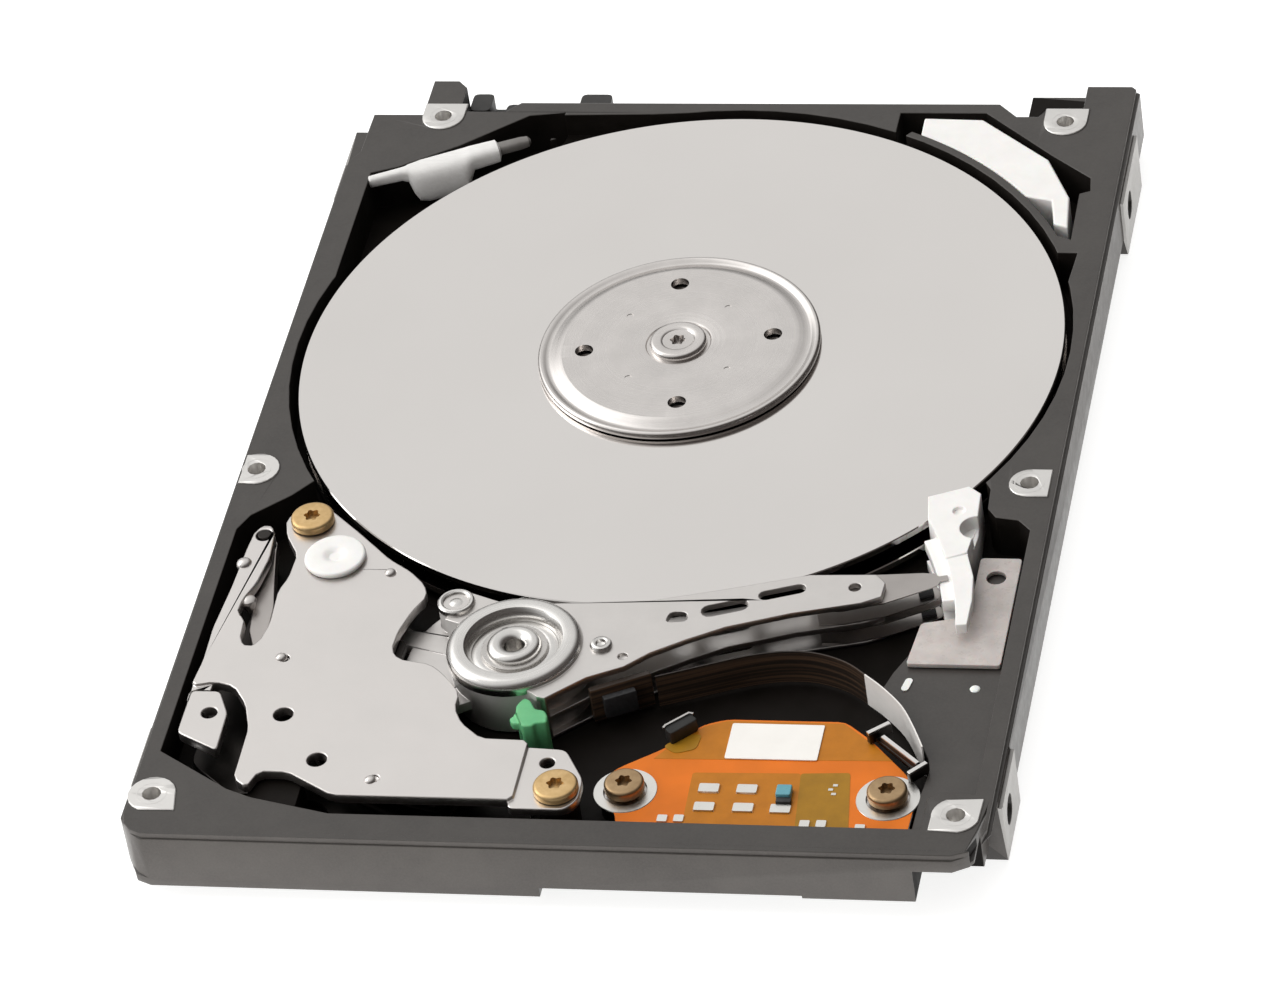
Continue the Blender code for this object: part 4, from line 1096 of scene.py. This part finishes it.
def latch_studs():
    """The ball-ended stop pin beside the latch, and the round stud on its lever."""
    pin = [(0.4, 2.6), (0.55, 6.5), (0.66, 6.8), (0.66, 7.05), (0.55, 7.25), (0.35, 7.38), (0.1, 7.42)]
    ball = turned(pin, (-31.1, -17.95), 32, capped=True)
    piece("latch_stop_pin", "chassis", ball, NICKEL)
    profile = [(0.3, 5.5), (0.6, 6.3), (0.68, 6.6), (0.6, 6.82), (0.4, 6.95), (0.1, 7.0)]
    stud = turned(profile, (-29.9, -22.1), 32, capped=True)
    piece("latch_lever_stud", "latch", stud, NICKEL)


def hidden_parts():
    """The desiccant, and what lies under the disks and below the casting."""
    finish_each(
        ("desiccant_cartridge", WHITE, 0.16, 3),
        ("platter_spacer", HUB, 0.05),
        ("spindle_hub", HUB, 0.05),
        ("spindle_shaft", STEEL, 0.05),
        ("spindle_sleeve", HUB, 0.05),
        ("rotor_magnet", BLACK, 0.04),
        ("motor_stator", COIL, 0.06),
        ("upper_pivot_bearing", STEEL, 0.04),
        ("lower_pivot_bearing", STEEL, 0.04),
        ("head_connector", BLACK, 0.06),
        ("circuit_board", BOARD, 0.03),
        ("controller_chip", CHIP, 0.06),
        ("motor_driver_chip", CHIP, 0.06),
        ("sata_connector", BLACK, 0.06),
    )
    for i in range(4):
        finished(f"board_screw_{i + 1}", STEEL, bevel=0.05)


def recirculation_filter():
    """The soft filter: a thin tongue, a fat roll and a neck, with a clear nub at the end.

    Each station gives a distance along the axis, a half width, a half height and a middle height.
    """
    tongue = ((0.0, 0.25, 0.3, 5.85), (0.15, 0.42, 0.5, 5.8), (2.6, 0.5, 0.55, 5.75))
    shoulder = ((3.1, 0.6, 0.7, 5.6), (3.35, 0.95, 1.3, 5.0), (3.7, 1.25, 1.7, 4.55))
    roll = ((4.4, 1.4, 1.85, 4.45), (7.2, 1.5, 1.85, 4.45), (7.6, 1.5, 1.75, 4.55))
    neck = ((8.0, 1.2, 1.3, 5.1), (8.3, 1.05, 0.95, 5.5), (10.4, 1.0, 0.85, 5.55))
    close = ((10.65, 0.5, 0.4, 5.62),)
    cloth = swept(tongue + shoulder + roll + neck + close)
    piece("filter_roll", "chassis", cloth, FILTER, "recirculation_filter")
    nub = ((10.4, 0.6, 0.5, 5.7), (12.3, 0.58, 0.48, 5.7), (12.9, 0.5, 0.4, 5.7), (13.1, 0.25, 0.2, 5.7))
    piece("filter_clear_nub", "chassis", swept(nub), NUB)


def swept(stations, count=24):
    """A softly squared section swept along the filter's axis."""
    start = Vector((-32.0, 34.5))
    along = Vector((0.905, 0.425)).normalized()
    across = Vector((-along.y, along.x))
    stretch = 1.13
    lift = 0.3
    points = []
    for distance, half_width, half_height, middle in stations:
        centre = start + along * distance * stretch
        for i in range(count):
            angle = math.tau * i / count
            spot = centre + across * squared(math.cos(angle)) * half_width
            points.append((spot.x, spot.y, middle + lift + squared(math.sin(angle)) * half_height))
    faces = []
    for k in range(len(stations) - 1):
        for i in range(count):
            j = (i + 1) % count
            a = k * count
            faces.append((a + i, a + j, a + count + j, a + count + i))
    faces.append(tuple(range(count)))
    faces.append(tuple(range((len(stations) - 1) * count, len(stations) * count)))
    return points, faces


def squared(value):
    """A sine or cosine pushed outwards, which turns a circle into a rounded square."""
    return math.copysign(abs(value) ** 0.7, value)


# ---------------------------------------------------------------- underside and connector


def board_parts():
    """Small parts, their bright ends and round test points, spread over the board's underside."""
    under = BOARD_UNDERSIDE
    test_point = [(0.02, under - 0.03), (0.55, under - 0.03), (0.55, under + 0.01), (0.02, under + 0.01)]
    keep_out = [(*SPINDLE, 10.0), (*PIVOT, 4.5), (9.0, -14.0, 11.0), (-17.0, -6.0, 6.5)]
    keep_out += [(x, y, 3.0) for x, y in BOARD_SCREWS]
    bodies = []
    ends = []
    points = []
    for row in range(14):
        for column in range(9):
            x = -23.5 + 5.9 * column + 1.3 * math.sin(2.1 * row + column)
            y = -41.0 + 6.1 * row + 1.2 * math.cos(1.7 * column + row)
            if y > 43.0 or any(max(abs(x - a), abs(y - b)) < r for a, b, r in keep_out):
                continue
            if (3 * row + 5 * column) % 4 == 0:
                points.append(turned(test_point, (x, y), 20))
                continue
            half_x, half_y = ((0.75, 0.4), (0.4, 0.75), (1.1, 0.65))[(row + column) % 3]
            bodies.append(block(x, y, half_x * 0.6, half_y * 0.6, under - 0.45, under))
            ends += part_ends(x, y, half_x, half_y)
    piece("board_small_parts", "chassis", together(*bodies), TAN)
    piece("board_part_ends", "chassis", together(*ends), SOLDER)
    piece("board_test_points", "chassis", together(*points), GOLD)


def part_ends(x, y, half_x, half_y):
    """The two tinned ends of a small part, at the ends of its longer side."""
    low = BOARD_UNDERSIDE - 0.47
    if half_x > half_y:
        spots = ((x - half_x * 0.8, y), (x + half_x * 0.8, y))
        size = (half_x * 0.2, half_y * 0.62)
    else:
        spots = ((x, y - half_y * 0.8), (x, y + half_y * 0.8))
        size = (half_x * 0.62, half_y * 0.2)
    return [block(a, b, *size, low, BOARD_UNDERSIDE) for a, b in spots]


def chip_legs():
    """A row of short legs along each side of the two chips."""
    low = BOARD_UNDERSIDE - 0.2
    for name, x, y, half, pins in CHIPS:
        legs = []
        for i in range(pins):
            along = half * 0.85 * (2 * i / (pins - 1) - 1)
            for out in (-half - 0.45, half + 0.45):
                legs.append(block(x + along, y + out, 0.16, 0.5, low, BOARD_UNDERSIDE))
                legs.append(block(x + out, y + along, 0.5, 0.16, low, BOARD_UNDERSIDE))
        piece(f"{name}_chip_legs", "chassis", together(*legs), SOLDER)


def connector_contacts():
    """Gold strips on the connector's two tongues, and three pins in its side pocket."""
    contacts = []
    for first, last, count in ((-19.6, -10.8, 7), (-6.7, 12.9, 15)):
        for i in range(count):
            x = first + (last - first) * i / (count - 1)
            contacts.append(plate(rectangle(x - 0.3, 47.6, x + 0.3, 49.75), 2.15, 2.26))
    for x in (17.2, 18.4, 19.6):
        contacts.append(plate(rectangle(x - 0.2, 47.9, x + 0.2, 49.6), 0.95, 1.35))
    piece("connector_contacts", "chassis", together(*contacts), GOLD)


# ---------------------------------------------------------------- stage, light and camera


def studio():
    """The floor just below the drive, the studio's own light and three softboxes."""
    reach = 3.0
    mesh = bpy.data.meshes.new("floor")
    corners = [(x, y, 0) for x, y in rectangle(-reach, -reach, reach, reach)]
    mesh.from_pydata(corners, [], [(0, 1, 2, 3)])
    mesh.materials.append(floor_material())
    floor = bpy.data.objects.new("floor", mesh)
    floor.location.z = cad_box[0].z - 0.2 * MM
    bpy.context.scene.collection.objects.link(floor)
    world_light()
    softbox("overhead_softbox", (-0.3, 0.1, 1.2), 0.9, 1.8, seen=False)
    softbox("key_softbox", (-0.85, 0.02, 0.5), 0.6, 2.0)
    softbox("fill_softbox", (-0.45, -0.75, 0.35), 0.6, 2.2, seen=False)


def softbox(name, place, size, radiance, seen=True):
    """A square light aimed at the drive, which may be left out of reflections."""
    light = bpy.data.lights.new(name, "AREA")
    light.shape = "SQUARE"
    light.size = size
    light.energy = radiance * math.pi * size * size
    light.color = (1.0, 0.99, 0.98)
    obj = bpy.data.objects.new(name, light)
    obj.location = place
    aim = -Vector(place)
    obj.rotation_mode = "QUATERNION"
    obj.rotation_quaternion = aim.to_track_quat("-Z", "Y")
    obj.visible_glossy = seen
    bpy.context.scene.collection.objects.link(obj)


def world_light():
    """A studio that is bright above and behind the drive and darker on the camera's side."""
    brightest = Vector((-0.6, 0.36, 0.71)).normalized()
    world = bpy.data.worlds.new("studio")
    bpy.context.scene.world = world
    world.use_nodes = True
    tree = world.node_tree
    background = tree.nodes["Background"]
    where = tree.nodes.new("ShaderNodeTexCoord")
    dot = tree.nodes.new("ShaderNodeVectorMath")
    dot.operation = "DOT_PRODUCT"
    dot.inputs[1].default_value = brightest
    tree.links.new(where.outputs["Generated"], dot.inputs[0])
    ramp = tree.nodes.new("ShaderNodeValToRGB")
    ramp.color_ramp.interpolation = "EASE"
    dim, bright = ramp.color_ramp.elements
    dim.position = 0.15
    dim.color = (0.09, 0.08, 0.075, 1)
    bright.position = 0.72
    bright.color = (0.83, 0.825, 0.815, 1)
    tree.links.new(dot.outputs["Value"], ramp.inputs[0])
    parts = tree.nodes.new("ShaderNodeSeparateXYZ")
    tree.links.new(where.outputs["Generated"], parts.inputs[0])
    strength = tree.nodes.new("ShaderNodeMath")
    strength.operation = "MULTIPLY"
    horizon = ranged(tree, parts.outputs["Z"], 0.05, 0.4, 0.3, 1.0)
    glow = ranged(tree, dot.outputs["Value"], 0.89, 0.975, 1.0, 2.3)
    tree.links.new(horizon, strength.inputs[0])
    tree.links.new(glow, strength.inputs[1])
    tree.links.new(strength.outputs[0], background.inputs["Strength"])
    tree.links.new(ramp.outputs[0], background.inputs["Color"])


def camera():
    """The viewpoint: 39 degrees up and a little to the right, with a long lens."""
    data = bpy.data.cameras.new("camera")
    data.sensor_width = 36.0
    data.lens = 186.55
    data.clip_start = 0.05
    data.clip_end = 20.0
    obj = bpy.data.objects.new("camera", data)
    obj.rotation_euler = (math.radians(50.53), math.radians(7.35), math.radians(10.25))
    obj.location = (0.1182, -0.4126, 0.3489)
    bpy.context.scene.collection.objects.link(obj)
    bpy.context.scene.camera = obj
    bpy.context.scene.view_settings.view_transform = "Standard"
    bpy.context.scene.view_settings.look = "None"


casting()
disks()
clamp()
screws()
outer_stop()
actuator()
flex_circuit()
motor_and_latch()
recirculation_filter()
hidden_parts()
board_parts()
chip_legs()
connector_contacts()
studio()
camera()
